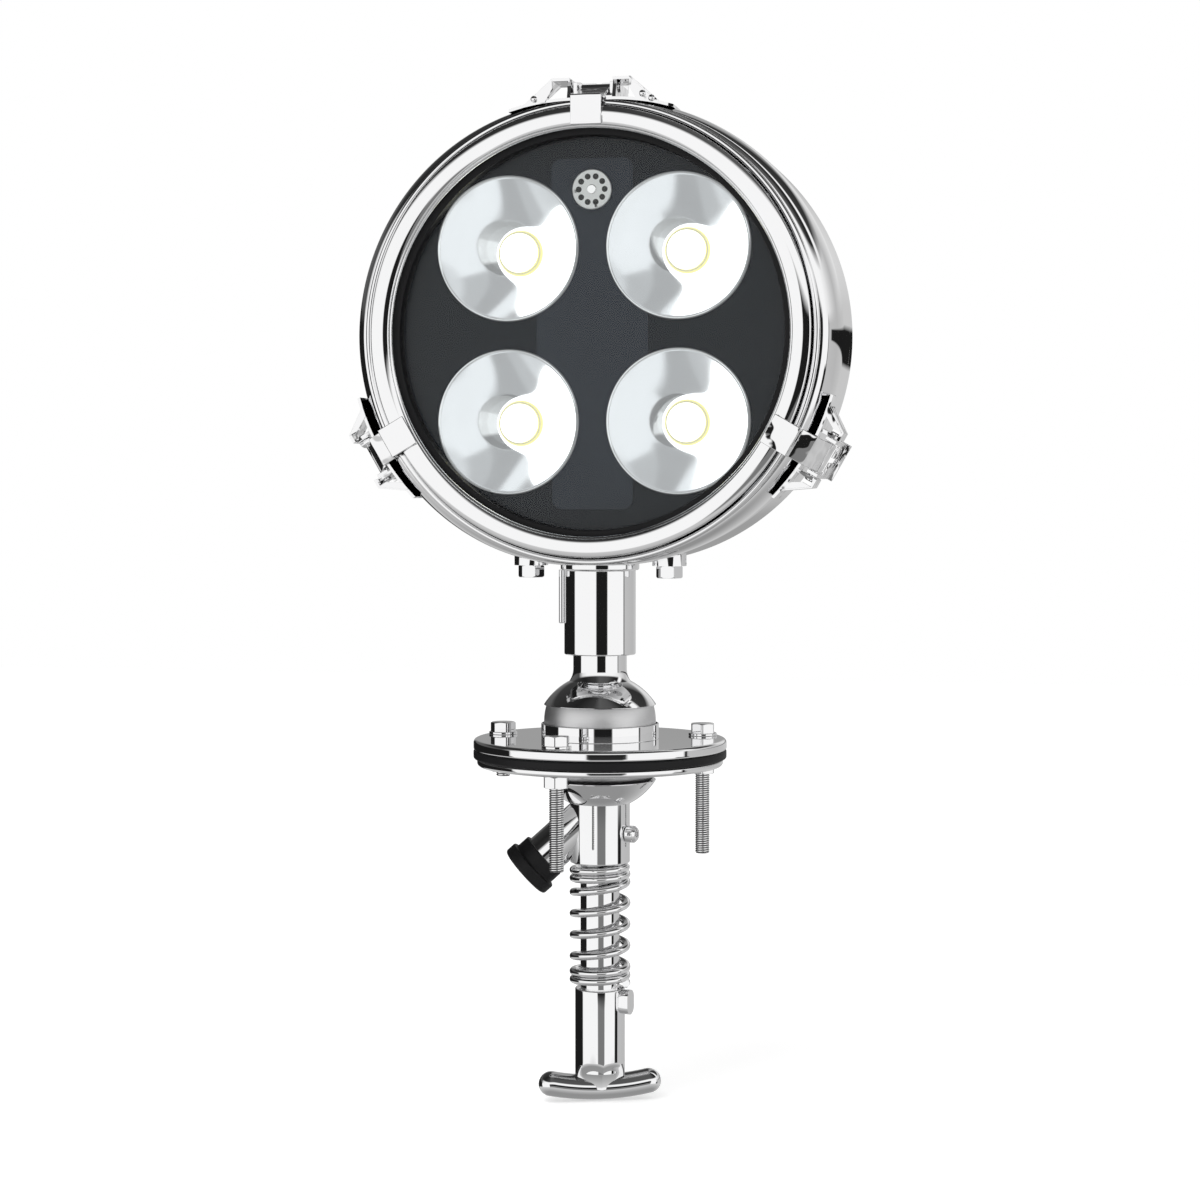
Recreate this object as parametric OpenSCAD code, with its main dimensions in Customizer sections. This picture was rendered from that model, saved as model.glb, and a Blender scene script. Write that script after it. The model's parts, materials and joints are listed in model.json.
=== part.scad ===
// Roof-mounted marine searchlight, worked from inside the cabin.
// The origin is on the column axis at the roof face, under the rubber gasket.
// +Z points up and the lamp looks along -Y. Millimetres.

/* [Roof flange] */
// Diameter of the polished roof plate
flange_d = 142; // [136:1:170]
// Thickness of the roof plate
flange_t = 6; // [4:0.5:9]
// Thickness of the rubber gasket
gasket_t = 5; // [3:0.5:8]
// Diameter of the backing ring inside the cabin
backing_d = 138; // [134:1:165]
// Thickness of the backing ring
backing_t = 4; // [3:0.5:7]
// Distance from the roof bolts to the edge of the smaller plate
bolt_edge = 9; // [8:0.5:12]
// Bearing of the long front roof bolt
bolt_turn = 259; // [250:1:268]
// Turn from the front bolt back to the short one
short_turn = 90; // [80:1:100]
// Turn from the front bolt on to the long side one
side_turn = 127; // [120:1:136]
// Reach of the long roof bolts below the roof face
long_drop = 56; // [40:1:70]
// Reach of the short roof bolt below the roof face
short_drop = 13; // [12:0.5:18]

/* [Fasteners] */
// Thread diameter of the hexagon bolts
bolt_d = 8; // [6:0.5:8]
// Width across flats of the hexagon heads and nuts
bolt_af = 13; // [11:0.5:14]
// Height of the hexagon heads
bolt_head_h = 5.3; // [4:0.1:7]
// Height of the hexagon nuts
nut_h = 6.5; // [5:0.1:8]
// Diameter of the plain washers
washer_d = 16; // [14:0.5:18]
// Thickness of the plain washers
washer_t = 1.6; // [1:0.1:2.5]

/* [Ball joint] */
// Diameter of the satin ball
ball_d = 62.8; // [60:0.2:64]
// Wall of the hollow ball
ball_wall = 3; // [2:0.25:5]
// Diameter of the bright collar round the ball
collar_d = 66; // [65.5:0.5:70]
// Height of the collar above the roof plate
collar_h = 8.5; // [7:0.5:10]
// Height of the dome rim above the collar
dome_lift = 10.3; // [9.9:0.1:12]
// Diameter of the dome and cup at the rim
cap_rim_d = 62.8; // [61.5:0.2:64]
// Diameter of the dome and cup at the narrow end
cap_neck_d = 34.4; // [33.8:0.2:38]
// Height of the dome and cup
cap_h = 13.4; // [12:0.2:15]
// Gap from the backing ring to the rim of the clamp cup
cup_gap = 8; // [7.5:0.25:10]
// Largest lean of the column in any direction, in degrees
lean = 17; // [10:0.5:17]

/* [Column] */
// Outer diameter of the column tube
column_d = 22; // [20:0.5:23]
// Wall of the column tube
column_wall = 2; // [1.5:0.25:3]
// Diameter of the neck above the dome
neck_d = 30; // [27:0.5:32]
// Height of the neck below the sleeve
neck_h = 15; // [10:0.5:20]
// Height of the flare at the foot of the neck
flare_h = 6.8; // [5:0.2:9]
// Diameter of the sleeve under the head
sleeve_d = 40; // [36:0.5:42]
// Height from the neck to the underside of the head
sleeve_h = 50.3; // [40:0.1:60]
// Diameter of the rim at the top of the sleeve
sleeve_rim_d = 44; // [43:0.5:50]
// Height of the rim at the top of the sleeve
sleeve_rim_h = 3; // [2:0.25:5]
// Diameter of the thin pin beside the sleeve
side_pin_d = 3; // [2:0.25:4]
// Length of the thin pin beside the sleeve
side_pin_l = 30; // [20:1:38]
// Bearing of the side that faces left in front view
left_bearing = 192; // [186:1:198]

/* [Clamp and handle] */
// Diameter of the clamp collar under the cup
clamp_d = 33.6; // [32:0.2:34]
// Length of the clamp collar
clamp_l = 33.6; // [32:0.2:40]
// Diameter of the cable branch
branch_d = 24; // [20:0.5:25]
// Slope of the cable branch from vertical
branch_slope = 48; // [45:1:50]
// Length of the cable branch from the column axis
branch_l = 50; // [46:0.5:54]
// Wall of the cable branch
branch_wall = 2; // [1.5:0.25:3]
// Diameter of the rubber cap's flange
cap_d = 32; // [28:0.5:33]
// Thickness of the rubber cap's flange
cap_t = 7; // [5:0.5:8]
// Diameter of the cable hole in the rubber cap
cable_d = 8; // [5:0.5:10]
// Length of the fitted spring
spring_l = 71; // [66:0.5:80]
// Wire diameter of the spring
wire_d = 4.4; // [3.6:0.1:4.6]
// Outer diameter of the spring
spring_d = 34.4; // [34:0.1:36]
// Number of open coils
open_coils = 4; // [3:1:4]
// Number of closed coils at each end
end_coils = 2; // [1:1:2]
// Outer diameter of the handle tube
handle_d = 28; // [27.6:0.2:32]
// Length from the spring to the middle of the bar
handle_l = 57; // [45:0.5:75]
// Diameter of the handle bar
bar_d = 14; // [11:0.5:16]
// Radius of the handle bar's curve
bar_bend = 140; // [110:1:200]
// Length of the handle bar over its round ends
bar_l = 70; // [60:1:90]
// Bearing of the handle bar
bar_bearing = 20; // [0:1:40]

/* [Lamp housing] */
// Radius of the housing at top and bottom
drum_r = 127; // [126.8:0.2:130]
// Extra half width of the oval housing
drum_oval = 9.5; // [8:0.5:12]
// Wall of the housing
drum_wall = 1.5; // [1:0.1:2]
// Reach of the housing in front of the column axis
drum_front = 28; // [27:0.5:30]
// Reach of the housing behind the column axis
drum_back = 27; // [24:0.5:40]
// Depth of the dished rear cover
cover_depth = 24; // [20:0.5:34]
// Radius of the bend round the rear cover
cover_bend = 18; // [12:0.5:19]
// How far the second bead stays inside the drum's outside
rim_step = 0.4; // [0.2:0.1:0.6]
// Diameter of the second bead
rim_bead_d = 3.4; // [3:0.2:3.4]

/* [Front ring] */
// Outer radius of the front ring
bezel_r = 122.5; // [122:0.1:122.7]
// Diameter of the front ring's bead
bezel_bead_d = 9.2; // [8:0.2:10]
// Radius of the clear opening
opening_r = 110.7; // [110.4:0.1:111.4]
// Reach of the front ring in front of the column axis
bezel_front = 36; // [35:0.5:39]
// Depth from the front ring to the dark panel
panel_depth = 16; // [15:0.25:16.5]
// Thickness of the dark panel
panel_t = 1.5; // [1:0.1:2]
// Thickness of the front glass
glass_t = 3.8; // [3:0.1:4.2]

/* [Reflectors] */
// Diameter of each reflector's mouth
mirror_d = 80; // [70:0.5:82]
// Spacing of the reflectors from the lamp's centre lines
mirror_grid = 47.8; // [44:0.1:49]
// Focal length of the reflectors
mirror_focus = 12; // [11.8:0.1:14]
// Wall of each reflector
mirror_wall = 1.2; // [0.8:0.1:1.6]
// Diameter of each light emitter
emitter_d = 22; // [16:0.5:23]
// Height of each emitter's round lens
emitter_h = 8; // [6:0.5:10]
// Diameter of the breather disc
vent_d = 22; // [16:0.5:24]
// Height of the breather above the lamp's centre
vent_up = 79; // [70:0.5:82]
// Number of holes in the breather
vent_holes = 10; // [6:1:12]
// Width of the bare film strip
strip_w = 45.6; // [40:0.2:50]
// Height of the bare film strip
strip_h = 192; // [180:1:196]
// Width of the bare plate at the lamp's centre
plate_w = 62.6; // [50:0.2:70]
// Height of the bare plate at the lamp's centre
plate_h = 41; // [30:0.5:48]

/* [Latches] */
// Bearing of the first of the three latches round the lamp
latch_first = 90; // [86:1:94]
// Width of the claw
claw_w = 17; // [12:0.5:17]
// Height of the latch above the housing
latch_h = 12.5; // [11.5:0.25:15]
// Half width of the top latch bracket at its feet
foot_u = 43; // [40:0.5:46]
// Half width of the top latch bracket at its crown
crown_u = 22; // [19:0.5:25]
// Half width of the side latch brackets at their feet
side_foot_u = 29; // [27:0.5:34]
// Half width of the side latch brackets at their crown
side_crown_u = 17; // [16:0.5:20]
// Sheet thickness of the bracket and the claw
sheet_t = 1.6; // [1.2:0.1:1.6]
// Distance from the lever pivot to the claw pivot
throw = 6; // [5:0.25:7]

/* [Hidden] */
$fn = 96;

// Clearances and small edges
seat_gap = 0.3;
pin_gap = 0.05;
press_gap = 0.02;
edge = 0.5;
over = 1;

// Roof bolts stand inside the edge of both plates, with a slimmer shank above the thread
bolt_pcd = min(flange_d, backing_d) - 2 * bolt_edge;
bolt_bearings = [bolt_turn - short_turn, bolt_turn, bolt_turn + side_turn];
shank_r = bolt_d / 2 - 0.2;

// Heights up the column, from the roof face
plate_top = gasket_t + flange_t;
collar_top = plate_top + collar_h;
ball_r = ball_d / 2;
ball_z = collar_top + 1;
ball_low = ball_z - 0.52 * ball_r;
dome_z = collar_top + dome_lift;
web_t = 3.5;
web_top = dome_z + 1.2;
dome_top = dome_z + cap_h;
sleeve_z = dome_top + neck_h;
head_z = sleeve_z + sleeve_h + drum_r;

// Heights down the column
cup_rim_z = -backing_t - cup_gap;
cup_low = cup_rim_z - cap_h;
clamp_low = cup_low - clamp_l;
spring_low = clamp_low - spring_l;
bar_z = spring_low - handle_l;
branch_z = cup_low - 0.5 + clamp_d / 2 / tan(branch_slope) - branch_d / 2 / sin(branch_slope);
cap_sleeve_l = 8;
guide_r = 3;
guide_head_r = 4.75;
guide_head_h = 6;
bar_half = asin((bar_l - bar_d) / 2 / bar_bend);
pinch_h = 16;
key_turn = 25;

// Caps: one sphere through the rim and the narrow end
cap_drop = (pow(cap_rim_d, 2) / 4 - pow(cap_neck_d, 2) / 4 - pow(cap_h, 2)) / (2 * cap_h);
cap_sphere = sqrt(pow(cap_rim_d, 2) / 4 + pow(cap_drop, 2));

// Socket under the ball: every face is a sphere about the ball's centre
column_r = column_d / 2;
cup_lip = 1.4;
cup_in_r = norm([cap_rim_d / 2 - cup_lip, ball_z - cup_rim_z]);
seal_t = 0.8;
seal_out = cup_in_r - seat_gap;
seat_out = seal_out - seal_t - seat_gap;
seat_wall = 3;
seat_body_r = 36;
seat_hole = (cup_in_r - 3) * tan(lean) + column_r / cos(lean) + seat_gap;
seat_low = ball_z - sqrt(pow(seat_out, 2) - pow(seat_hole, 2));
ring_r = ball_r + 0.6;
backing_hole = 41;

// Lamp: distances ahead of the column axis
panel_front = bezel_front - panel_depth;
panel_back = panel_front - panel_t;
panel_r = opening_r + 1.8;
rim_plate_t = 2;
rim_in = bezel_r + 0.5;
rim_bead_r = rim_bead_d / 2;
rim_r = drum_r - rim_step;
rim_seat_r = opening_r - 0.2;
bead_r = bezel_bead_d / 2;
skirt_in = panel_r + 1.2;
lip_back = bezel_front - 7;
pad_lip = 2.2;
glass_r = opening_r + 0.1;
glass_back = panel_front + pad_lip;
pad_r = skirt_in - 0.6;
pad_in = opening_r - 3.2;
strip_t = 0.5;
mirror_r = mirror_d / 2;
emitter_r = emitter_d / 2;
socket_r = emitter_r + 1;
mirror_lip = 1;
board_t = 2.5;
function dish(r) = pow(r, 2) / (4 * mirror_focus);
mirror_vertex = panel_front + mirror_lip - dish(mirror_r - mirror_wall);
board_front = mirror_vertex + dish(socket_r) - 0.2;
board_back = board_front - board_t;
sink_t = 4;
sink_r = 108;
fin_h = 18;
fin_count = 13;
fin_pitch = 15;
fin_t = 2.5;
cover_back = -drum_back - cover_depth;
saddle_x = 39.5;
saddle_z = head_z - sqrt(pow(drum_r, 2) - pow(saddle_x - drum_oval, 2));
wedge_t = 6;
wedge_low = saddle_z - 0.7 * wedge_t;
foot_t = 12;
foot_edge = 4.5;
bracket_top = drum_r - foot_t;
tongue_lap = 12;
tongue_t = 3;
driver_w = 90;
driver_h = 34;
driver_t = 16;

// Latches: u runs round the housing, w outwards, a forwards along the lamp axis
latch_count = 3;
latch_bearings = [for (i = [0 : latch_count - 1]) latch_first + 360 * i / latch_count];
base_back = 2;
base_front = 24;
ear_t = 2;
lever_t = 2;
lever_gap = 0.7;
ear_gap = 0.4;
lever_u = claw_w / 2 + lever_gap;
ear_u = lever_u + lever_t + ear_gap;
pivot_w = latch_h - 4.5;
pivot_a = 14;
link_a = pivot_a - throw;
pivot_r = 2;
link_r = 1.5;
claw_gap = 0.4;
cheek_front = base_front + over + sheet_t / 4;
rivet_r = 1.8;
rivet_h = 1.4;
right_rivets = [29, 34];
left_rivets = [31.5];
function oval_side(i) = cos(latch_bearings[i]) > 0.1 ? 1 : cos(latch_bearings[i]) < -0.1 ? -1 : 0;
function bead_drop(i) = drum_r - rim_r + drum_oval * abs(oval_side(i) * cos(latch_bearings[i]));
function foot_of(i) = oval_side(i) == 0 ? foot_u : side_foot_u;
function crown_of(i) = oval_side(i) == 0 ? crown_u : side_crown_u;
function foot_w(i) = drum_w(i, foot_of(i)) - sheet_t;
function leg_w(i, u) =
  latch_h - (u - crown_of(i)) / (foot_of(i) - crown_of(i)) * (latch_h - foot_w(i));
function drum_w(i, u) =
  sqrt(pow(drum_r, 2) - pow(u - (1 - abs(oval_side(i))) * drum_oval, 2)) - drum_r;

// Shared shapes

module disc(r, h, top = edge, low = edge) {
  rotate_extrude()
    polygon([[0, 0], [r - low, 0], [r, low], [r, h - top], [r - top, h], [0, h]]);
}

module ring(r, hole, h, top = edge, low = edge) {
  difference() {
    disc(r, h, top, low);
    translate([0, 0, -over])
      cylinder(r = hole, h = h + 2 * over);
  }
}

module hex(h, hole = 0) {
  corner = bolt_af / 2 / cos(30);
  difference() {
    intersection() {
      cylinder(r = corner, h = h, $fn = 6);
      disc(corner + 0.05, h, 0.8, 0.8);
    }
    if (hole > 0)
      translate([0, 0, -over])
        cylinder(r = hole, h = h + 2 * over);
  }
}

module at_bolts(which = [0, 1, 2]) {
  for (i = which)
    rotate(bolt_bearings[i])
      translate([bolt_pcd / 2, 0, 0])
        children();
}

module bolt_holes(low, high) {
  at_bolts()
    translate([0, 0, low - over])
      cylinder(r = bolt_d / 2 + 0.5, h = high - low + 2 * over);
}

module ball_sphere(r) {
  translate([0, 0, ball_z])
    sphere(r = r);
}

module slab(low, high, r = 200) {
  translate([0, 0, low])
    cylinder(r = r, h = high - low);
}

// Rim down, narrow end up, on the plane of the rim
module cap_form() {
  intersection() {
    translate([0, 0, -cap_drop])
      sphere(r = cap_sphere);
    cylinder(r = cap_rim_d, h = cap_h);
  }
}

module column_bore(low, high, gap) {
  translate([0, 0, low - over])
    cylinder(r = column_r + gap, h = high - low + 2 * over);
}

// Lamp frame: x across, y up, z forwards
module at_lamp() {
  translate([0, 0, head_z])
    rotate([90, 0, 0])
      children();
}

module oval(r) {
  for (side = [-1, 1])
    translate([side * drum_oval, 0])
      circle(r = r, $fn = 480);
  square([2 * drum_oval, 2 * r], center = true);
}

module oval_bar(r, back, front) {
  translate([0, 0, back])
    linear_extrude(front - back)
      oval(r);
}

// A profile of radius and height carried round the oval
module oval_turn() {
  for (side = [0, 1])
    rotate(180 * side) {
      translate([drum_oval, 0, 0])
        rotate(-90)
          rotate_extrude(angle = 180)
            children();
      rotate([90, 0, 90])
        linear_extrude(2 * drum_oval, center = true)
          children();
    }
}

module lamp_ring(hole, r, back, front) {
  translate([0, 0, back])
    difference() {
      cylinder(r = r, h = front - back);
      translate([0, 0, -over])
        cylinder(r = hole, h = front - back + 2 * over);
    }
}

module at_mirror(i) {
  translate([(i % 2 == 0 ? -1 : 1) * mirror_grid, (i < 2 ? 1 : -1) * mirror_grid, 0])
    children();
}

// Latch frame: x outwards, y round the housing, z forwards
module at_latch(i) {
  translate([oval_side(i) * drum_oval, 0, 0])
    rotate(latch_bearings[i])
      translate([drum_r, 0, 0])
        children();
}

// A flat outline of outward and forward distances, set across the latch
module across(u, t) {
  translate([0, u + t, 0])
    rotate([90, 0, 0])
      linear_extrude(t)
        children();
}

module both_sides() {
  children();
  mirror([0, 1, 0])
    children();
}

// Roof fitting

module flange_plate() {
  color("silver")
    difference() {
      translate([0, 0, gasket_t])
        ring(flange_d / 2, ring_r + seat_gap, flange_t);
      bolt_holes(gasket_t, plate_top);
    }
}

module seat_collar() {
  color("silver")
    difference() {
      translate([0, 0, plate_top])
        disc(collar_d / 2, collar_h, 0.4, 0.3);
      ball_sphere(ball_r + 3 * seat_gap);
    }
}

module lower_seat() {
  color("gainsboro")
    difference() {
      intersection() {
        slab(seat_low, gasket_t, seat_body_r);
        ball_sphere(seat_out);
      }
      intersection() {
        ball_sphere(seat_out - seat_wall);
        slab(seat_low - over, gasket_t - seat_wall, seat_body_r - seat_wall);
      }
      ball_sphere(ball_r + 2 * seat_gap);
      slab(seat_low - over, 0, seat_hole);
    }
}

module roof_gasket() {
  color([0.06, 0.06, 0.06])
    difference() {
      ring(flange_d / 2, seat_body_r + seat_gap, gasket_t, 0.8, 0.8);
      bolt_holes(0, gasket_t);
    }
}

module backing_ring() {
  color("silver")
    difference() {
      translate([0, 0, -backing_t])
        ring(backing_d / 2, backing_hole, backing_t, edge, 1.6);
      bolt_holes(-backing_t, 0);
    }
}

module roof_bolt(drop) {
  thread_top = -backing_t - nut_h - edge;
  translate([0, 0, plate_top + washer_t])
    hex(bolt_head_h);
  translate([0, 0, thread_top - over])
    cylinder(r = shank_r, h = plate_top + washer_t - thread_top + 2 * over);
  translate([0, 0, -drop])
    disc(bolt_d / 2, drop + thread_top, 0.3, 0.6);
}

module roof_bolts() {
  color("silver") {
    at_bolts([0])
      roof_bolt(short_drop);
    at_bolts([1, 2])
      roof_bolt(long_drop);
  }
}

module bolt_washers() {
  color("silver")
    at_bolts()
      translate([0, 0, plate_top])
        ring(washer_d / 2, bolt_d / 2 + press_gap, washer_t, 0.3, 0.3);
}

module roof_nuts() {
  color("silver")
    at_bolts()
      translate([0, 0, -backing_t - nut_h])
        hex(nut_h, shank_r + press_gap);
}

module ball_seat_ring() {
  color("ivory")
    difference() {
      slab(gasket_t + seat_gap, plate_top - seat_gap, ring_r);
      ball_sphere(ball_r + seat_gap);
    }
}

module cup_seal_ring() {
  inner = seat_hole + 0.6;
  outer = cap_rim_d / 2 - 2 * cup_lip;
  color([0.1, 0.1, 0.1])
    difference() {
      intersection() {
        ball_sphere(seal_out);
        slab(ball_z - seal_out, 0, outer);
      }
      ball_sphere(seal_out - seal_t);
      slab(ball_z - seal_out - over, over, inner);
    }
}

// Clamp under the roof

module clamp_cup() {
  color("silver")
    difference() {
      translate([0, 0, cup_rim_z])
        mirror([0, 0, 1])
          cap_form();
      ball_sphere(cup_in_r);
      column_bore(cup_low, cup_rim_z, pin_gap);
    }
}

module branch_frame() {
  rotate(left_bearing)
    translate([0, 0, branch_z])
      rotate([0, 180 - branch_slope, 0])
        children();
}

module clamp_collar() {
  color("silver")
    difference() {
      slab(clamp_low, cup_low, clamp_d / 2);
      column_bore(clamp_low, cup_low, pin_gap);
      branch_frame()
        cylinder(r = branch_d / 2 - branch_wall, h = branch_l);
      guide_screw_place()
        translate([0, 0, -clamp_d / 4])
          cylinder(r = guide_r + press_gap, h = clamp_d);
    }
}

module cable_branch() {
  color("silver")
    difference() {
      branch_frame()
        difference() {
          cylinder(r = branch_d / 2, h = branch_l);
          translate([0, 0, -over])
            cylinder(r = branch_d / 2 - branch_wall, h = branch_l + 2 * over);
        }
      slab(clamp_low - branch_l, plate_top, clamp_d / 2 + press_gap);
    }
}

module branch_cap() {
  color([0.05, 0.05, 0.05])
    branch_frame()
      difference() {
        union() {
          translate([0, 0, branch_l - cap_sleeve_l])
            ring(branch_d / 2 + 1.8, branch_d / 2 + press_gap, cap_sleeve_l);
          translate([0, 0, branch_l])
            disc(cap_d / 2, cap_t, 1.2, 1.2);
        }
        translate([0, 0, branch_l - over])
          cylinder(r = cable_d / 2, h = cap_t + 2 * over);
      }
}

module guide_screw_place() {
  translate([0, 0, (cup_low + clamp_low) / 2])
    rotate(left_bearing + 180 - key_turn)
      rotate([0, 90, 0])
        translate([0, 0, clamp_d / 2])
          children();
}

module guide_screw() {
  shank = clamp_d / 2 - column_r - 2 * seat_gap;
  color("silver")
    guide_screw_place()
      difference() {
        union() {
          translate([0, 0, -shank])
            cylinder(r = guide_r, h = shank + over);
          translate([0, 0, press_gap])
            disc(guide_head_r, guide_head_h, 1.5, 0.3);
        }
        translate([0, 0, guide_head_h * 2 / 3])
          cylinder(r = 1.8, h = guide_head_h, $fn = 6);
      }
}

// Round wire carried along a helix whose pitch is closed at both ends
module clamp_spring() {
  coil_r = spring_d / 2 - wire_d / 2;
  coils = open_coils + 2 * end_coils;
  end_pitch = wire_d + 0.12;
  open_pitch = (spring_l - 0.2 - wire_d - 2 * end_coils * end_pitch) / open_coils;
  steps = 20;
  sides = 8;
  function rise(n) =
    end_pitch * (min(n, end_coils) + max(n - end_coils - open_coils, 0))
    + open_pitch * min(max(n - end_coils, 0), open_coils);
  rings = coils * steps + 1;
  points = [
    for (k = [0 : rings - 1])
      for (s = [0 : sides - 1])
        let (
          turn = 360 * k / steps,
          side = 360 * (s + 0.5) / sides,
          r = coil_r + wire_d / 2 * cos(side)
        )
        [
          r * cos(turn),
          r * sin(turn),
          spring_low + 0.1 + wire_d / 2 * (1 + sin(side)) + rise(k / steps)
        ]
  ];
  walls = [
    for (k = [0 : rings - 2])
      for (s = [0 : sides - 1])
        let (n = (s + 1) % sides)
        [k * sides + s, k * sides + n, (k + 1) * sides + n, (k + 1) * sides + s]
  ];
  first = [[for (s = [sides - 1 : -1 : 0]) s]];
  last = [[for (s = [0 : sides - 1]) (rings - 1) * sides + s]];
  color("silver")
    polyhedron(points, concat(walls, first, last));
}

// Column, ball and handle

module column_tube() {
  color("silver")
    difference() {
      slab(bar_z + bar_d / 2 + 2, sleeve_z + neck_h, column_r);
      slab(bar_z, sleeve_z + neck_h + over, column_r - column_wall);
    }
}

module swivel_ball() {
  color("lightgray")
    difference() {
      intersection() {
        ball_sphere(ball_r);
        slab(ball_low, web_top);
      }
      intersection() {
        ball_sphere(ball_r - ball_wall);
        slab(ball_low - over, web_top - web_t);
      }
      column_bore(ball_low, web_top, press_gap);
    }
}

module dome_cap() {
  hub_r = cap_neck_d / 2 - 1.5;
  roof_t = 2;
  color("silver")
    difference() {
      translate([0, 0, dome_z])
        cap_form();
      intersection() {
        ball_sphere(ball_r + press_gap);
        slab(dome_z - over, web_top + press_gap);
      }
      difference() {
        intersection() {
          translate([0, 0, dome_z - cap_drop])
            sphere(r = cap_sphere - 2.4);
          slab(web_top, dome_top - roof_t);
        }
        slab(dome_z, dome_top, hub_r);
      }
      column_bore(dome_z, dome_top, press_gap);
    }
}

module neck_tube() {
  flare_w = (cap_neck_d - neck_d) / 2;
  flare_r = (pow(flare_w, 2) + pow(flare_h, 2)) / (2 * flare_w);
  neck_top = sleeve_z + sleeve_h * 0.8;
  color("silver")
    translate([0, 0, dome_top])
      rotate_extrude()
        union() {
          difference() {
            translate([column_r + press_gap, 0])
              square([cap_neck_d / 2 - column_r - press_gap, flare_h]);
            translate([neck_d / 2 + flare_r, flare_h])
              circle(r = flare_r);
          }
          translate([column_r + press_gap, flare_h - 0.01])
            square([neck_d / 2 - column_r - press_gap, neck_top - dome_top - flare_h]);
        }
}

module head_sleeve() {
  color("silver")
    difference() {
      union() {
        slab(sleeve_z, head_z - drum_r + 4, sleeve_d / 2);
        slab(sleeve_z + sleeve_h - sleeve_rim_h, head_z - drum_r + 4, sleeve_rim_d / 2);
      }
      translate([0, 0, sleeve_z - over])
        cylinder(r = neck_d / 2 + press_gap, h = sleeve_h + 4 * over);
      at_lamp()
        oval_bar(drum_r, -drum_back, drum_front);
    }
}

module side_pin() {
  rotate(left_bearing)
    color("silver")
      translate([sleeve_d / 2 + side_pin_d / 2, 0, sleeve_z + sleeve_h - sleeve_rim_h - side_pin_l])
        disc(side_pin_d / 2, side_pin_l, 0.1, 0.6);
}

module at_saddle() {
  for (side = [-1, 1])
    translate([side * saddle_x, 0, 0])
      children();
}

module saddle_bolts() {
  color("silver")
    at_saddle() {
      translate([0, 0, wedge_low - bolt_head_h - 1.5])
        hex(bolt_head_h + 1.5);
      translate([0, 0, wedge_low - over])
        cylinder(r = bolt_d / 2, h = head_z - bracket_top - wedge_low - over);
    }
}

module saddle_washers() {
  color("silver")
    difference() {
      at_saddle()
        difference() {
          slab(wedge_low, saddle_z + wedge_t, washer_d / 2 + 1.5);
          slab(wedge_low - over, saddle_z + wedge_t + over, bolt_d / 2 + press_gap);
        }
      at_lamp()
        oval_bar(drum_r, -drum_back, drum_front);
    }
}

// Casting that fills the foot of the housing and carries the heat sink
module mount_bracket() {
  half = saddle_x + washer_d / 2 + foot_edge;
  color("darkgray")
    at_lamp()
      difference() {
        union() {
          intersection() {
            oval_bar(drum_r - drum_wall, board_back, drum_front / 2);
            translate([-half, -drum_r, -drum_r])
              cube([2 * half, drum_r - bracket_top, 2 * drum_r]);
          }
          translate([-half / 2, -bracket_top - over, board_back])
            cube([half, bracket_top + over - sink_r + tongue_lap, tongue_t]);
        }
        rotate([-90, 0, 0])
          translate([0, 0, -head_z]) {
            at_saddle()
              cylinder(r = bolt_d / 2 + press_gap, h = head_z);
            cylinder(r = column_r - column_wall, h = head_z);
          }
      }
}

// The lower end is pinched flat from both sides onto the bar
module handle_tube() {
  half = handle_d / 2 + over;
  color("silver")
    difference() {
      intersection() {
        slab(bar_z, spring_low, handle_d / 2);
        rotate(bar_bearing)
          translate([0, 0, bar_z])
            rotate([90, 0, 90])
              linear_extrude(2 * half, center = true)
                polygon([
                  [-bar_d / 2, 0], [bar_d / 2, 0], [half, pinch_h], [half, spring_low - bar_z + over],
                  [-half, spring_low - bar_z + over], [-half, pinch_h]
                ]);
      }
      slab(bar_z + bar_d / 2 + 2, spring_low + over, column_r + press_gap);
      bar_arc(bar_d / 2 + press_gap);
    }
}

module bar_arc(r) {
  rotate(bar_bearing)
    translate([0, 0, bar_z + bar_bend])
      rotate([90, 0, 0])
        rotate(-90 - bar_half)
          rotate_extrude(angle = 2 * bar_half)
            translate([bar_bend, 0])
              circle(r = r);
}

module handle_bar() {
  $fn = 84;
  color("silver") {
    bar_arc(bar_d / 2);
    rotate(bar_bearing)
      translate([0, 0, bar_z + bar_bend])
        rotate([90, 0, 0])
          for (side = [-1, 1])
            rotate(-90 + side * bar_half)
              translate([bar_bend, 0, 0])
                sphere(r = bar_d / 2);
  }
}

module handle_key() {
  key_w = 9;
  key_h = 14;
  proud = 5;
  color("silver")
    difference() {
      rotate(left_bearing + 180 - key_turn)
        translate([handle_d / 2 - 2, 0, spring_low - key_h / 2])
          rotate([0, 90, 0])
            linear_extrude(proud + 2)
              union() {
                square([key_h - key_w, key_w], center = true);
                for (end = [-1, 1])
                  translate([end * (key_h - key_w) / 2, 0])
                    circle(r = key_w / 2);
              }
      slab(bar_z, spring_low + over, handle_d / 2 + press_gap);
    }
}

// Lamp housing

module drum_shell() {
  color("silver")
    difference() {
      at_lamp()
        difference() {
          oval_bar(drum_r, -drum_back, drum_front);
          oval_bar(drum_r - drum_wall, -drum_back - over, drum_front - drum_wall);
          lamp_ring(0, rim_in + 1.6 + press_gap, drum_front - 2 * drum_wall, drum_front + over);
        }
      at_saddle()
        slab(saddle_z - 12, saddle_z + 12, bolt_d / 2 + press_gap);
      slab(head_z - drum_r - over, head_z - drum_r + 3, column_r - column_wall);
    }
}

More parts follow.
